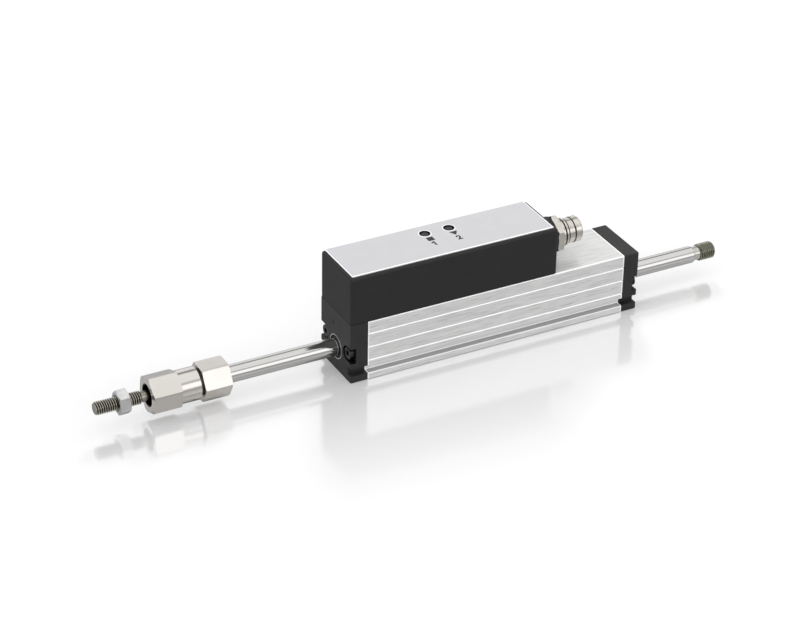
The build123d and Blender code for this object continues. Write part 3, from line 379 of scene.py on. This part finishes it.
# the chain that is being edited, spun all round into a closed shape
def spinChain(centre, axis, steps):
    bpy.ops.mesh.select_all(action="SELECT")
    bpy.ops.mesh.spin(steps=steps, angle=2 * math.pi, center=centre, axis=axis)
    bpy.ops.mesh.select_all(action="SELECT")
    bpy.ops.mesh.remove_doubles(threshold=0.002 * mm)
    bpy.ops.mesh.normals_make_consistent(inside=False)
    bpy.ops.object.mode_set(mode="OBJECT")


# half outline of (x, radius) in mm, spun round the axis at that height
def turnedPiece(name, outline, axisHeight, steps=72):
    piece = drawChain(name, [Vector((x, 0, axisHeight + radius)) * mm for x, radius in outline])
    spinChain((0, 0, axisHeight * mm), (1, 0, 0), steps)
    return piece


# hexagon bar along X: its long edges rounded, its ends chamfered to a cone as on a lathe
def hexPiece(name, shape, span, turn, axisHeight):
    clearSelection()
    start, end = span
    corner, chamfer = shape["flats"] / math.sqrt(3), shape["chamfer"]
    lying = Matrix.Rotation(math.radians(turn), 4, "X") @ Matrix.Rotation(math.pi / 2, 4, "Y")
    middle = Vector(((start + end) / 2, 0, axisHeight)) * mm
    bpy.ops.mesh.primitive_cylinder_add(vertices=6, radius=corner * mm, depth=(end - start) * mm, location=middle,
                                        rotation=lying.to_euler())
    piece = bpy.context.object
    piece.name = name
    bpy.ops.object.transform_apply(location=True, rotation=True, scale=True)
    bpy.ops.object.mode_set(mode="EDIT")
    bpy.ops.mesh.select_mode(type="EDGE")
    bpy.ops.mesh.select_all(action="DESELECT")
    mesh = bmesh.from_edit_mesh(piece.data)
    for edge in mesh.edges:
        run = edge.verts[0].co - edge.verts[1].co
        edge.select_set(abs(run.x) > 0.9 * run.length)  # the long edges
    bmesh.update_edit_mesh(piece.data)
    bpy.ops.mesh.bevel(offset=shape["edgeRound"] * mm, segments=3)
    bpy.ops.object.mode_set(mode="OBJECT")
    cone = turnedPiece("chamferCone", [
        (start, 0), (start, corner - chamfer), (start + chamfer / 2, corner),
        (end - chamfer / 2, corner), (end, corner - chamfer), (end, 0)], axisHeight, roundSides)
    combine(piece, cone, "INTERSECT")
    return piece


# one tooth of a metric thread, screwed round the axis past both ends, closed, and cut to its envelope
def threadedBar(name, pitch, radius, span, envelope, axisHeight):
    start, end = span
    early = 1.5  # turns before the span and after it
    root = radius - 0.6134 * pitch  # depth of a metric thread
    tooth = [(0, root), (0.125, root), (0.4375, radius), (0.5625, radius), (0.875, root), (1, root)]  # in pitches
    corners = [Vector((start + (share - early) * pitch, 0, height)) * mm for share, height in tooth]
    piece = drawChain(name, corners)
    bpy.ops.object.mode_set(mode="OBJECT")
    screw = piece.modifiers.new("screw", "SCREW")
    screw.axis = "X"
    screw.screw_offset = pitch * mm
    screw.iterations = math.ceil((end - start) / pitch) + round(2 * early)
    screw.steps = screw.render_steps = 48
    screw.use_merge_vertices = True
    screw.merge_threshold = 0.001 * mm
    applyModifier(piece, screw)
    bpy.ops.object.mode_set(mode="EDIT")
    bpy.ops.mesh.select_mode(type="VERT")
    bpy.ops.mesh.select_all(action="SELECT")
    bpy.ops.mesh.remove_doubles(threshold=0.002 * mm)
    bpy.ops.mesh.select_all(action="DESELECT")
    bpy.ops.mesh.select_non_manifold()
    bpy.ops.mesh.extrude_region_move()
    bpy.ops.mesh.merge(type="COLLAPSE")
    bpy.ops.mesh.select_all(action="SELECT")
    bpy.ops.mesh.normals_make_consistent(inside=False)
    bpy.ops.transform.translate(value=(0, 0, axisHeight * mm))
    bpy.ops.object.mode_set(mode="OBJECT")
    combine(piece, turnedPiece("threadEnvelope", envelope, axisHeight), "INTERSECT")
    return piece


def arc(centre, radius, fromAngle, toAngle, count):
    steps = [math.radians(fromAngle + (toAngle - fromAngle) * share / count) for share in range(count + 1)]
    return [(centre + radius * math.cos(step), radius * math.sin(step)) for step in steps]


def dress(piece, *materials):
    piece.data.materials.clear()
    for material in materials:
        piece.data.materials.append(material)


# each face gets the first material, or the one of the last test that its middle passes
def paintFaces(piece, *tests):
    for face in piece.data.polygons:
        middle = face.center / mm
        face.material_index = max([0] + [slot for slot, wanted in enumerate(tests, 1) if wanted(middle)])


def fromAxis(middle, axisHeight):
    return math.hypot(middle.y, middle.z - axisHeight)


# rod with its two threaded ends
rod = {
    "radius": 4.0, "front": -137.8, "rear": 123.55, "thread": 8.1, "relief": 3.15, "reliefRadius": 3.25,
    "chamfer": 0.6, "tip": 0.8, "pitch": 1.0, "runout": 0.4, "runoutDepth": 0.5, "ringGroove": (19.6, 20.4),
    "grooveRadius": 3.65,
}


def makeRod():
    radius, relief, chamfer, tip = rod["radius"], rod["reliefRadius"], rod["chamfer"], rod["tip"]
    front, rear, pitch = rod["front"], rod["rear"], rod["pitch"]
    frontThreadEnd, rearThreadStart = front + rod["thread"], rear - rod["thread"]
    barFront, barRear = frontThreadEnd + rod["relief"], rearThreadStart - rod["relief"]
    (grooveIn, grooveOut), groove = rod["ringGroove"], rod["grooveRadius"]
    bar = turnedPiece("polished_rod", [
        (frontThreadEnd - lap, 0), (frontThreadEnd - lap, relief), (barFront, relief),
        (barFront, radius - chamfer), (barFront + chamfer, radius),
        (-grooveOut, radius), (-grooveOut, groove), (-grooveIn, groove), (-grooveIn, radius),
        (grooveIn, radius), (grooveIn, groove), (grooveOut, groove), (grooveOut, radius),
        (barRear - chamfer, radius), (barRear, radius - chamfer),
        (barRear, relief), (rearThreadStart + lap, relief), (rearThreadStart + lap, 0)], rodHeight, roundSides)
    crest, runout, depth = radius + skin, rod["runout"], rod["runoutDepth"]
    frontThread = threadedBar("frontThread", pitch, radius, (front, frontThreadEnd), [
        (front, 0), (front, radius - tip), (front + tip, crest),
        (frontThreadEnd - runout, crest), (frontThreadEnd, radius - depth), (frontThreadEnd, 0)], rodHeight)
    rearThread = threadedBar("rearThread", pitch, radius, (rearThreadStart, rear), [
        (rearThreadStart, 0), (rearThreadStart, radius - depth), (rearThreadStart + runout, crest),
        (rear - tip, crest), (rear, radius - tip), (rear, 0)], rodHeight)
    combine(bar, frontThread, "UNION")
    combine(bar, rearThread, "UNION")
    dress(bar, groundSteel, rodThread, reliefSteel, threadTip)
    paintFaces(bar, lambda middle: middle.x < frontThreadEnd or middle.x > rearThreadStart,
               lambda middle: (frontThreadEnd <= middle.x < barFront + skin
                               or barRear - skin < middle.x <= rearThreadStart),
               lambda middle: middle.x < front + skin or middle.x > rear - skin)
    smoothShade(bar)
    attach(bar, "rod_assembly")
    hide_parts("rod")
    print("rod made,", len(bar.data.polygons), "faces")


makeRod()


# ball stud and lock nut
stud = {
    "ball": -153.35, "ballRadius": 5.25, "neckRadius": 2.35, "neckLap": 3.0, "threadSpan": (-187.05, -166.05),
    "radius": 3.0, "pitch": 1.0, "tip": 0.6, "tipLength": 1.0, "runout": 0.35, "runoutDepth": 0.45,
    "tipFace": 0.35, "neckFace": (0.3, 2.5),
}


def makeBallStud():
    start, end = stud["threadSpan"]
    radius, neck, ball = stud["radius"], stud["neckRadius"], stud["ball"]
    neckStart, crest = end - stud["neckLap"], radius + skin
    meet = math.degrees(math.acos(-math.sqrt(1 - (neck / stud["ballRadius"]) ** 2)))
    core = turnedPiece("ball_end_stud", [
        (neckStart, 0), (neckStart, neck), *arc(ball, stud["ballRadius"], meet, 0, 22)], rodHeight)
    thread = threadedBar("studThread", stud["pitch"], radius, (start, end), [
        (start, 0), (start, radius - stud["tip"]), (start + stud["tipLength"], crest),
        (end - stud["runout"], crest), (end, radius - stud["runoutDepth"]), (end, 0)], rodHeight)
    combine(core, thread, "UNION")
    dress(core, studThread, threadTip, neckSteel)
    before, within = stud["neckFace"]
    paintFaces(core, lambda middle: middle.x < start + stud["tipFace"],
               lambda middle: middle.x > end - before and fromAxis(middle, rodHeight) < within)
    smoothShade(core)
    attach(core, "stud_assembly")
    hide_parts("ball_stud")


nut = {
    "flats": 10.0, "edgeRound": 0.12, "chamfer": 1.1, "span": (-176.95, -171.8), "turn": 16.5, "bore": 2.72,
    "countersink": 3.15,
}


def makeStudNut():
    start, end = nut["span"]
    bore, sink = nut["bore"], nut["countersink"]
    slope = sink - bore
    piece = hexPiece("stud_lock_nut", nut, (start, end), nut["turn"], rodHeight)
    hole = turnedPiece("nutHole", [
        (start - clear, 0), (start - clear, sink), (start, sink), (start + slope, bore),
        (end - slope, bore), (end, sink), (end + clear, sink), (end + clear, 0)], rodHeight)
    combine(piece, hole, "DIFFERENCE")
    dress(piece, zincPlated)
    smoothShade(piece)
    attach(piece, "stud_assembly")
    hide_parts("stud_nut")


makeBallStud()
makeStudNut()
print("ball stud and nut made")


# ball coupling
coupling = {
    "flats": 15.5, "edgeRound": 0.3, "chamfer": 0.7, "hexSpan": (-162.85, -149.55), "turn": 40.0,
    "neckRadius": 7.45, "neckEnd": -140.3, "rim": 0.15, "mouth": 4.8, "mouthChamfer": 0.5, "seat": 5.3,
    "seatStep": 0.1, "chamber": 6.05, "plugSpan": (-139.2, -126.55), "plugTurn": 0.0, "plugThread": (-143.0, 6.03),
    "plugBore": 4.02, "plugChamfer": 0.4, "rodPlay": 0.5,
}


def makeCouplingBody():
    start, end = coupling["hexSpan"]
    neck, neckEnd, rim = coupling["neckRadius"], coupling["neckEnd"], coupling["rim"]
    mouth, sink, seat, chamber = (coupling[part] for part in ("mouth", "mouthChamfer", "seat", "chamber"))
    ball = stud["ball"]
    body = hexPiece("coupling_housing", coupling, (start, end), coupling["turn"], rodHeight)
    tube = turnedPiece("couplingNeck", [
        (end - lap, 0), (end - lap, neck), (neckEnd - rim, neck), (neckEnd, neck - rim),
        (neckEnd, 0)], rodHeight, roundSides)
    combine(body, tube, "UNION")
    meet = math.degrees(math.acos(-math.sqrt(1 - (mouth / seat) ** 2)))
    bore = turnedPiece("couplingBore", [
        (start - clear, 0), (start - clear, mouth + sink), (start, mouth + sink), (start + sink, mouth),
        *arc(ball, seat, meet, 90, 10), (ball + coupling["seatStep"], chamber),
        (neckEnd + clear, chamber), (neckEnd + clear, 0)], rodHeight)
    combine(body, bore, "DIFFERENCE")
    dress(body, nickelTurned)
    smoothShade(body)
    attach(body, "rod_assembly")
    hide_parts("coupling_body")


def makeCouplingPlug():
    start, end = coupling["plugSpan"]
    threadEnd, threadRadius = coupling["plugThread"]
    bore, sink, holeStart = coupling["plugBore"], coupling["plugChamfer"], rod["front"] - coupling["rodPlay"]
    plug = hexPiece("coupling_end_plug", coupling, (start, end), coupling["plugTurn"], rodHeight)
    spigot = turnedPiece("plugSpigot", [
        (threadEnd, 0), (threadEnd, threadRadius), (start + lap, threadRadius), (start + lap, 0)], rodHeight)
    combine(plug, spigot, "UNION")
    hole = turnedPiece("plugHole", [
        (holeStart, 0), (holeStart, bore), (end - sink, bore), (end, bore + sink), (end + clear, bore + sink),
        (end + clear, 0)], rodHeight)
    combine(plug, hole, "DIFFERENCE")
    dress(plug, nickelTurned, nickelGrooveShade)
    # the spigot in the gap between the hexagons gets the darker plate: painted shade
    paintFaces(plug, lambda middle: middle.x < start - hair and fromAxis(middle, rodHeight) < threadRadius + skin)
    smoothShade(plug)
    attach(plug, "rod_assembly")
    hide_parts("coupling_plug")


makeCouplingBody()
makeCouplingPlug()
print("coupling made")


# connector shell: hexagon, grooved barrel and end ring, turned from one bar
connector = {
    "flats": 16.0, "edgeRound": 0.25, "chamfer": 0.7, "hexSpan": (34.05, 37.15), "turn": 30.0,
    "inner": 24.25, "bore": 4.25, "thread": 6.0, "end": 48.35, "tip": 0.6, "mouthChamfer": 0.2, "edge": 0.15,
    "rings": [(37.15, 39.25, 6.5), (39.25, 39.9, 5.2), (39.9, 40.9, 6.4), (40.9, 41.65, 5.0), (41.65, 44.3, 5.75),
              (44.3, 44.85, 5.2)],  # start, end and radius
    "lastRing": 44.85, "raisedOver": 6.2, "grooveUnder": 5.5,
}


def makeConnectorShell():
    inner, bore, thread, edge = (connector[part] for part in ("inner", "bore", "thread", "edge"))
    last, end, tip, mouth = (connector[part] for part in ("lastRing", "end", "tip", "mouthChamfer"))
    rings, raisedOver = connector["rings"], connector["raisedOver"]
    outline = [(inner, bore), (inner, thread), (rings[0][0], thread)]
    for ringStart, ringEnd, radius in rings:
        if radius > raisedOver:
            outline += [(ringStart, radius - edge), (ringStart + edge, radius), (ringEnd - edge, radius),
                        (ringEnd, radius - edge)]
        else:
            outline += [(ringStart, radius), (ringEnd, radius)]
    outline += [(last, thread - edge), (last + edge, thread), (end - tip, thread), (end, thread - tip),
                (end, bore + mouth), (end - mouth, bore), outline[0]]
    shell = turnedPiece("connector_barrel", outline, connectorHeight, roundSides)
    low, high = connector["hexSpan"]
    hexagon = hexPiece("connectorHexagon", connector, (low, high), connector["turn"], connectorHeight)
    wall = (bore + thread) / 2
    hole = turnedPiece("hexagonHole", [
        (low - clear, 0), (low - clear, wall), (high + clear, wall), (high + clear, 0)], connectorHeight)
    combine(hexagon, hole, "DIFFERENCE")
    combine(shell, hexagon, "UNION")
    dress(shell, nickelConnector, nickelGrooveShade)
    # the groove bottoms get the darker plate: painted shade
    grooves = [(ringStart, ringEnd) for ringStart, ringEnd, radius in rings if radius < connector["grooveUnder"]]
    paintFaces(shell, lambda middle: fromAxis(middle, connectorHeight) < raisedOver and any(
        ringStart - hair < middle.x < ringEnd + hair for ringStart, ringEnd in grooves))
    smoothShade(shell)
    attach(shell, "sensor_body")
    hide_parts("connector_shell")
    print("connector shell made,", len(shell.data.polygons), "faces")


makeConnectorShell()


# marks printed on the label
marks = {
    "top": 52.5, "ink": 0.02, "buttons": (-25.8, -13.75), "square": 3.2, "squareY": 2.3, "triangle": (4.0, 3.4),
    "triangleY": 2.25, "digitHeight": 3.4, "digitY": -3.55, "bold": 0.2, "stroke": 0.85, "flag": 1.0,
}


def inkMark(piece, name):
    pick(piece)
    piece.name = name
    bpy.ops.object.transform_apply(location=True, rotation=True, scale=True)
    bpy.ops.object.mode_set(mode="EDIT")
    bpy.ops.mesh.select_all(action="SELECT")
    bpy.ops.mesh.remove_doubles(threshold=0.0005 * mm)
    bpy.ops.mesh.extrude_region_move(TRANSFORM_OT_translate={"value": (0, 0, marks["ink"] * mm)})
    bpy.ops.mesh.select_all(action="SELECT")
    bpy.ops.mesh.normals_make_consistent(inside=False)
    bpy.ops.object.mode_set(mode="OBJECT")
    dress(piece, printingInk)
    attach(piece, "sensor_body")


def makeMarks():
    (first, second), top = marks["buttons"], marks["top"]
    clearSelection()
    bpy.ops.mesh.primitive_plane_add(size=marks["square"] * mm, location=Vector((first, marks["squareY"], top)) * mm)
    inkMark(bpy.context.object, "mark_square")
    width, height = marks["triangle"]
    clearSelection()
    bpy.ops.mesh.primitive_circle_add(vertices=3, radius=mm, fill_type="NGON", rotation=(0, 0, math.pi),
                                      location=Vector((second, marks["triangleY"] + height / 6, top)) * mm)
    triangle = bpy.context.object
    triangle.scale = (width / math.sqrt(3), height / 1.5, 1)
    inkMark(triangle, "mark_triangle")
    clearSelection()
    bpy.ops.object.text_add(location=Vector((second, marks["digitY"], top)) * mm)
    two = bpy.context.object
    two.data.body = "2"
    two.data.align_x = "CENTER"
    two.data.size = marks["digitHeight"] / 0.73 * mm  # digits are 0.73 of the font size
    two.data.resolution_u = 6
    two.data.offset = marks["bold"] * mm
    bpy.ops.object.convert(target="MESH")
    inkMark(bpy.context.object, "mark_digit_2")
    stroke, tall, flag = marks["stroke"], marks["digitHeight"], marks["flag"]
    half, drop = stroke / 2, flag * 0.85  # the flag of the digit falls to the left
    outline = [(half, 0), (half, tall), (-half * 0.4, tall), (-half - flag, tall - drop),
               (-half - flag, tall - drop - stroke), (-half, tall - stroke * 1.15), (-half, 0)]
    places = [Vector((first + x, marks["digitY"] + y, top)) * mm for x, y in outline]
    one = drawChain("mark_digit_1", places)
    bpy.ops.mesh.select_all(action="SELECT")
    bpy.ops.mesh.edge_face_add()
    bpy.ops.object.mode_set(mode="OBJECT")
    inkMark(one, "mark_digit_1")
    print("marks made")


makeMarks()


# label plate: lies in the housing's recess and laps over its far rim, with a well for each button
label = {
    "near": -12.3, "recessSide": 12.7, "far": 14.25, "bottom": 52.0, "rim": 52.31, "top": 52.5, "edge": 0.05,
    "ends": (-71.65, 28.25), "wellRadius": 2.6, "wellY": 7.6, "wellCut": 3.0,
}


def makeLabel():
    near, far, top, edge = label["near"], label["far"], label["top"], label["edge"]
    (start, end), wellRadius, wellY = label["ends"], label["wellRadius"], label["wellY"]
    section = [(near, label["bottom"]), (label["recessSide"], label["bottom"]), (label["recessSide"], label["rim"]),
               (far, label["rim"]), (far, top - edge), (far - edge, top), (near + edge, top), (near, top - edge)]
    plate = drawChain("label_film_plate", [Vector((start, y, z)) * mm for y, z in section])
    bpy.ops.mesh.select_all(action="SELECT")
    bpy.ops.mesh.edge_face_add()
    bpy.ops.mesh.extrude_region_move(TRANSFORM_OT_translate={"value": ((end - start) * mm, 0, 0)})
    bpy.ops.mesh.select_all(action="SELECT")
    bpy.ops.mesh.normals_make_consistent(inside=False)
    bpy.ops.object.mode_set(mode="OBJECT")
    for x in marks["buttons"]:
        clearSelection()
        bpy.ops.mesh.primitive_cylinder_add(vertices=64, radius=wellRadius * mm, depth=label["wellCut"] * mm,
                                            location=Vector((x, wellY, top)) * mm)
        well = bpy.context.object
        bpy.ops.object.transform_apply(location=True, rotation=True, scale=True)
        combine(plate, well, "DIFFERENCE")
    dress(plate, filmFoil, nitrileRubber)
    # the walls of each button well get the black rubber: painted shade
    paintFaces(plate, lambda middle: middle.z < top - hair and any(
        math.hypot(middle.x - x, middle.y - wellY) < wellRadius + 2 * hair for x in marks["buttons"]))
    smoothShade(plate)
    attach(plate, "sensor_body")
    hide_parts("label_plate")
    print("label made,", len(plate.data.polygons), "faces")


makeLabel()


# painted shade: a black ring laid in the label's well round each button, where the well lies in shade
buttonRing = {
    "inner": 1.63, "outer": 2.57, "base": 52.0, "height": 0.12, "edge": 0.04, "y": 7.6, "steps": 48,
}


def makeButtonRings():
    inner, outer, base, edge, y = (buttonRing[part] for part in ("inner", "outer", "base", "edge", "y"))
    top = base + buttonRing["height"]
    first, second = marks["buttons"]
    corners = [(inner, base), (outer, base), (outer, top - edge), (outer - edge, top), (inner + edge, top),
               (inner, top - edge)]
    places = [Vector((first + radius, y, height)) * mm for radius, height in corners]
    ring = drawChain("button_ring_1", places + places[:1])
    spinChain(Vector((first, y, 0)) * mm, (0, 0, 1), buttonRing["steps"])
    dress(ring, nitrileRubber)
    smoothShade(ring)
    pick(ring)
    bpy.ops.object.duplicate()
    other = bpy.context.object
    other.name = "button_ring_2"
    bpy.ops.object.mode_set(mode="EDIT")
    bpy.ops.mesh.select_all(action="SELECT")
    bpy.ops.transform.translate(value=((second - first) * mm, 0, 0))
    bpy.ops.object.mode_set(mode="OBJECT")
    for piece in (ring, other):
        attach(piece, "sensor_body")
    print("button rings made")


makeButtonRings()


# finishes of the pieces that keep their CAD shape
finishes = [
    (extrudedAluminium, ["profile"]),
    (milledAluminium, ["target_plate", "board_capacitors"]),
    (housingNylon, ["electronics_housing"]),
    (capNylon, ["front_cap", "rear_cap"]),
    (buttonPlastic, ["button_1", "button_2", "plunger_1", "plunger_2"]),
    (nitrileRubber, ["front_cap_gasket", "rear_cap_gasket", "end_buffers", "housing_gasket", "connector_seal"]),
    (wiperRubber, ["front_wiper", "rear_wiper"]),
    (blackScrew, ["front_cap_screws", "rear_cap_screws", "housing_screws"]),
    (wiperSteel, ["front_wiper_case", "rear_wiper_case"]),
    (bushPolymer, ["front_bush", "rear_bush"]),
    (sliderPlastic, ["target_carriage"]),
    (linerPolymer, ["ball_liner"]),
    (zincPlated, ["retaining_rings", "thrust_washers", "target_screws", "board_screws", "pressure_piece",
                  "disc_springs"]),
    (boardLaminate, ["coil_board", "electronics_board", "terminal_board"]),
    (chipResin, ["coil_board_chips", "processor_chip", "power_inductor"]),
    (insertPlastic, ["link_header", "switch_bodies", "connector_insert"]),
    (goldPlated, ["link_pins", "contact_pins", "bridge_pins"]),
    (nickelConnector, ["connector_locknut"]),
]


def dressNodes():
    for material, names in finishes:
        for name in names:
            dress(nodes[name], material)


dressNodes()
print("finishes given")


# camera, floor, background and lamps
camera = {
    "target": (-41.56, 0.0, 21.58), "distance": 1170.18, "azimuth": -28.387, "elevation": 30.754, "roll": 1.069,
    "lens": 119.33, "sensor": 36.0,
}


def placeCamera():
    azimuth, elevation, roll = (math.radians(camera[part]) for part in ("azimuth", "elevation", "roll"))
    level = math.cos(elevation)
    back = Vector((math.sin(azimuth) * level, -math.cos(azimuth) * level, math.sin(elevation)))
    turn = (Matrix.Rotation(azimuth, 4, "Z") @ Matrix.Rotation(math.pi / 2 - elevation, 4, "X")
            @ Matrix.Rotation(roll, 4, "Z"))
    spot = (Vector(camera["target"]) + back * camera["distance"]) * mm
    bpy.ops.object.camera_add(location=spot, rotation=turn.to_euler())
    seen = bpy.context.object
    seen.data.lens = camera["lens"]
    seen.data.sensor_width = camera["sensor"]
    seen.data.clip_start, seen.data.clip_end = 0.05, 50.0
    bpy.context.scene.camera = seen


floor = {
    "size": 6000.0, "seenColour": "#C8C8C9", "bounceColour": "#9C9C9D", "mirror": 0.33, "fadeStart": 14.0,
    "fadeEnd": 86.0, "mirrorRough": 0.11, "glow": 0.265, "whiteStart": 300.0, "whiteEnd": 1100.0,
}


def makeFloor():
    clearSelection()
    bpy.ops.mesh.primitive_plane_add(size=floor["size"] * mm)
    piece = bpy.context.object
    piece.name = "studio_floor"
    material, tree = startMaterial("whiteAcrylicSheet")  # white with a weak mirror image of what stands on it
    path = addNode(tree, "ShaderNodeLightPath")
    place = addNode(tree, "ShaderNodeTexCoord").outputs["Object"]
    apart = addNode(tree, "ShaderNodeVectorMath", {"operation": "LENGTH"}, {0: place})
    glow = addNode(tree, "ShaderNodeMapRange", {
        "interpolation_type": "SMOOTHSTEP", "From Min": floor["whiteStart"] * mm, "From Max": floor["whiteEnd"] * mm,
        "To Min": floor["glow"], "To Max": 1.0}, {"Value": apart.outputs["Value"]})
    glow = addNode(tree, "ShaderNodeMath", {"operation": "MULTIPLY"},
                   {0: glow.outputs[0], 1: path.outputs["Is Camera Ray"]})
    parts = addNode(tree, "ShaderNodeSeparateXYZ", {}, {"Vector": place})
    away = addNode(tree, "ShaderNodeMath", {"operation": "ABSOLUTE"}, {0: parts.outputs["Y"]})
    share = addNode(tree, "ShaderNodeMapRange", {
        "From Min": floor["fadeStart"] * mm, "From Max": floor["fadeEnd"] * mm, "To Min": floor["mirror"],
        "To Max": 0.0}, {"Value": away.outputs[0]})
    tone = addNode(tree, "ShaderNodeMix", {
        "data_type": "RGBA", 6: colour(floor["bounceColour"]), 7: colour(floor["seenColour"])}, {
        0: path.outputs["Is Camera Ray"]})
    matt = addNode(tree, "ShaderNodeBsdfDiffuse", {}, {"Color": tone.outputs[2]})
    light = addNode(tree, "ShaderNodeEmission", {"Color": (1, 1, 1, 1)}, {"Strength": glow.outputs[0]})
    lit = addNode(tree, "ShaderNodeAddShader", {}, {0: matt.outputs[0], 1: light.outputs[0]})
    mirror = addNode(tree, "ShaderNodeBsdfGlossy", {"Color": (1, 1, 1, 1), "Roughness": floor["mirrorRough"]})
    surface = addNode(tree, "ShaderNodeMixShader", {},
                      {0: share.outputs[0], 1: lit.outputs[0], 2: mirror.outputs[0]})
    finishMaterial(tree, surface)
    piece.data.materials.append(material)


# room: each band's degrees from the front horizon, up and over to the back, and its brightness
background = {
    "brightest": 1.5,
    "bands": [(0, 0.5), (5, 0.5), (10, 1.45), (37, 1.45), (42, 0.6), (51, 0.5), (56, 1.05), (119, 1.05), (124, 0.2),
              (134, 0.2), (140, 0.92), (153, 0.92), (162, 1.0), (180, 1.0)],
}


def makeBackground():
    world = bpy.data.worlds.new("studioRoom")
    bpy.context.scene.world = world
    world.use_nodes = True
    tree = world.node_tree
    tree.nodes.clear()
    brightest = background["brightest"]
    direction = addNode(tree, "ShaderNodeTexCoord").outputs["Generated"]
    parts = addNode(tree, "ShaderNodeSeparateXYZ", {}, {"Vector": direction})
    forward = addNode(tree, "ShaderNodeMath", {"operation": "MULTIPLY", 1: -1.0}, {0: parts.outputs["Y"]})
    turn = addNode(tree, "ShaderNodeMath", {"operation": "ARCTAN2"}, {0: parts.outputs["Z"], 1: forward.outputs[0]})
    share = addNode(tree, "ShaderNodeMath", {"operation": "DIVIDE", 1: math.pi}, {0: turn.outputs[0]})
    stops = [(angle / 180, light / brightest) for angle, light in background["bands"]]
    bands = addNode(tree, "ShaderNodeValToRGB", {"stops": stops}, {"Fac": share.outputs[0]})
    path = addNode(tree, "ShaderNodeLightPath")
    room = addNode(tree, "ShaderNodeBackground", {"Strength": brightest}, {"Color": bands.outputs["Color"]})
    white = addNode(tree, "ShaderNodeBackground", {"Color": (1, 1, 1, 1)})
    mixed = addNode(tree, "ShaderNodeMixShader", {},
                    {0: path.outputs["Is Camera Ray"], 1: room.outputs[0], 2: white.outputs[0]})
    addNode(tree, "ShaderNodeOutputWorld", {}, {"Surface": mixed.outputs[0]})


# places and sizes in mm, power in watts
lamps = {
    "topSoftbox": {"place": (-150, 350, 900), "size": (700, 500), "power": 0.3},
    "backSoftbox": {"place": (380, 760, 530), "size": (190, 190), "power": 4.5},
    "leftSoftbox": {"place": (-900, -150, 420), "size": (500, 500), "power": 1.8},
    "frontSoftbox": {"place": (-200, -1000, 420), "size": (900, 500), "power": 2.75},
    "rearSoftbox": {"place": (900, 100, 650), "size": (500, 400), "power": 1.3},
}


def makeLamps():
    aim = Vector((-30, 0, 20)) * mm
    for name, lamp in lamps.items():
        place = Vector(lamp["place"]) * mm
        facing = (aim - place).to_track_quat("-Z", "Y").to_euler()
        bpy.ops.object.light_add(type="AREA", location=place, rotation=facing)
        light = bpy.context.object
        light.name = name
        light.data.shape = "RECTANGLE"
        light.data.size, light.data.size_y = (side * mm for side in lamp["size"])
        light.data.energy = lamp["power"]
        light.visible_glossy = False


placeCamera()
makeFloor()
makeBackground()
makeLamps()
bpy.context.scene.view_settings.view_transform = "Standard"
print("stage set")
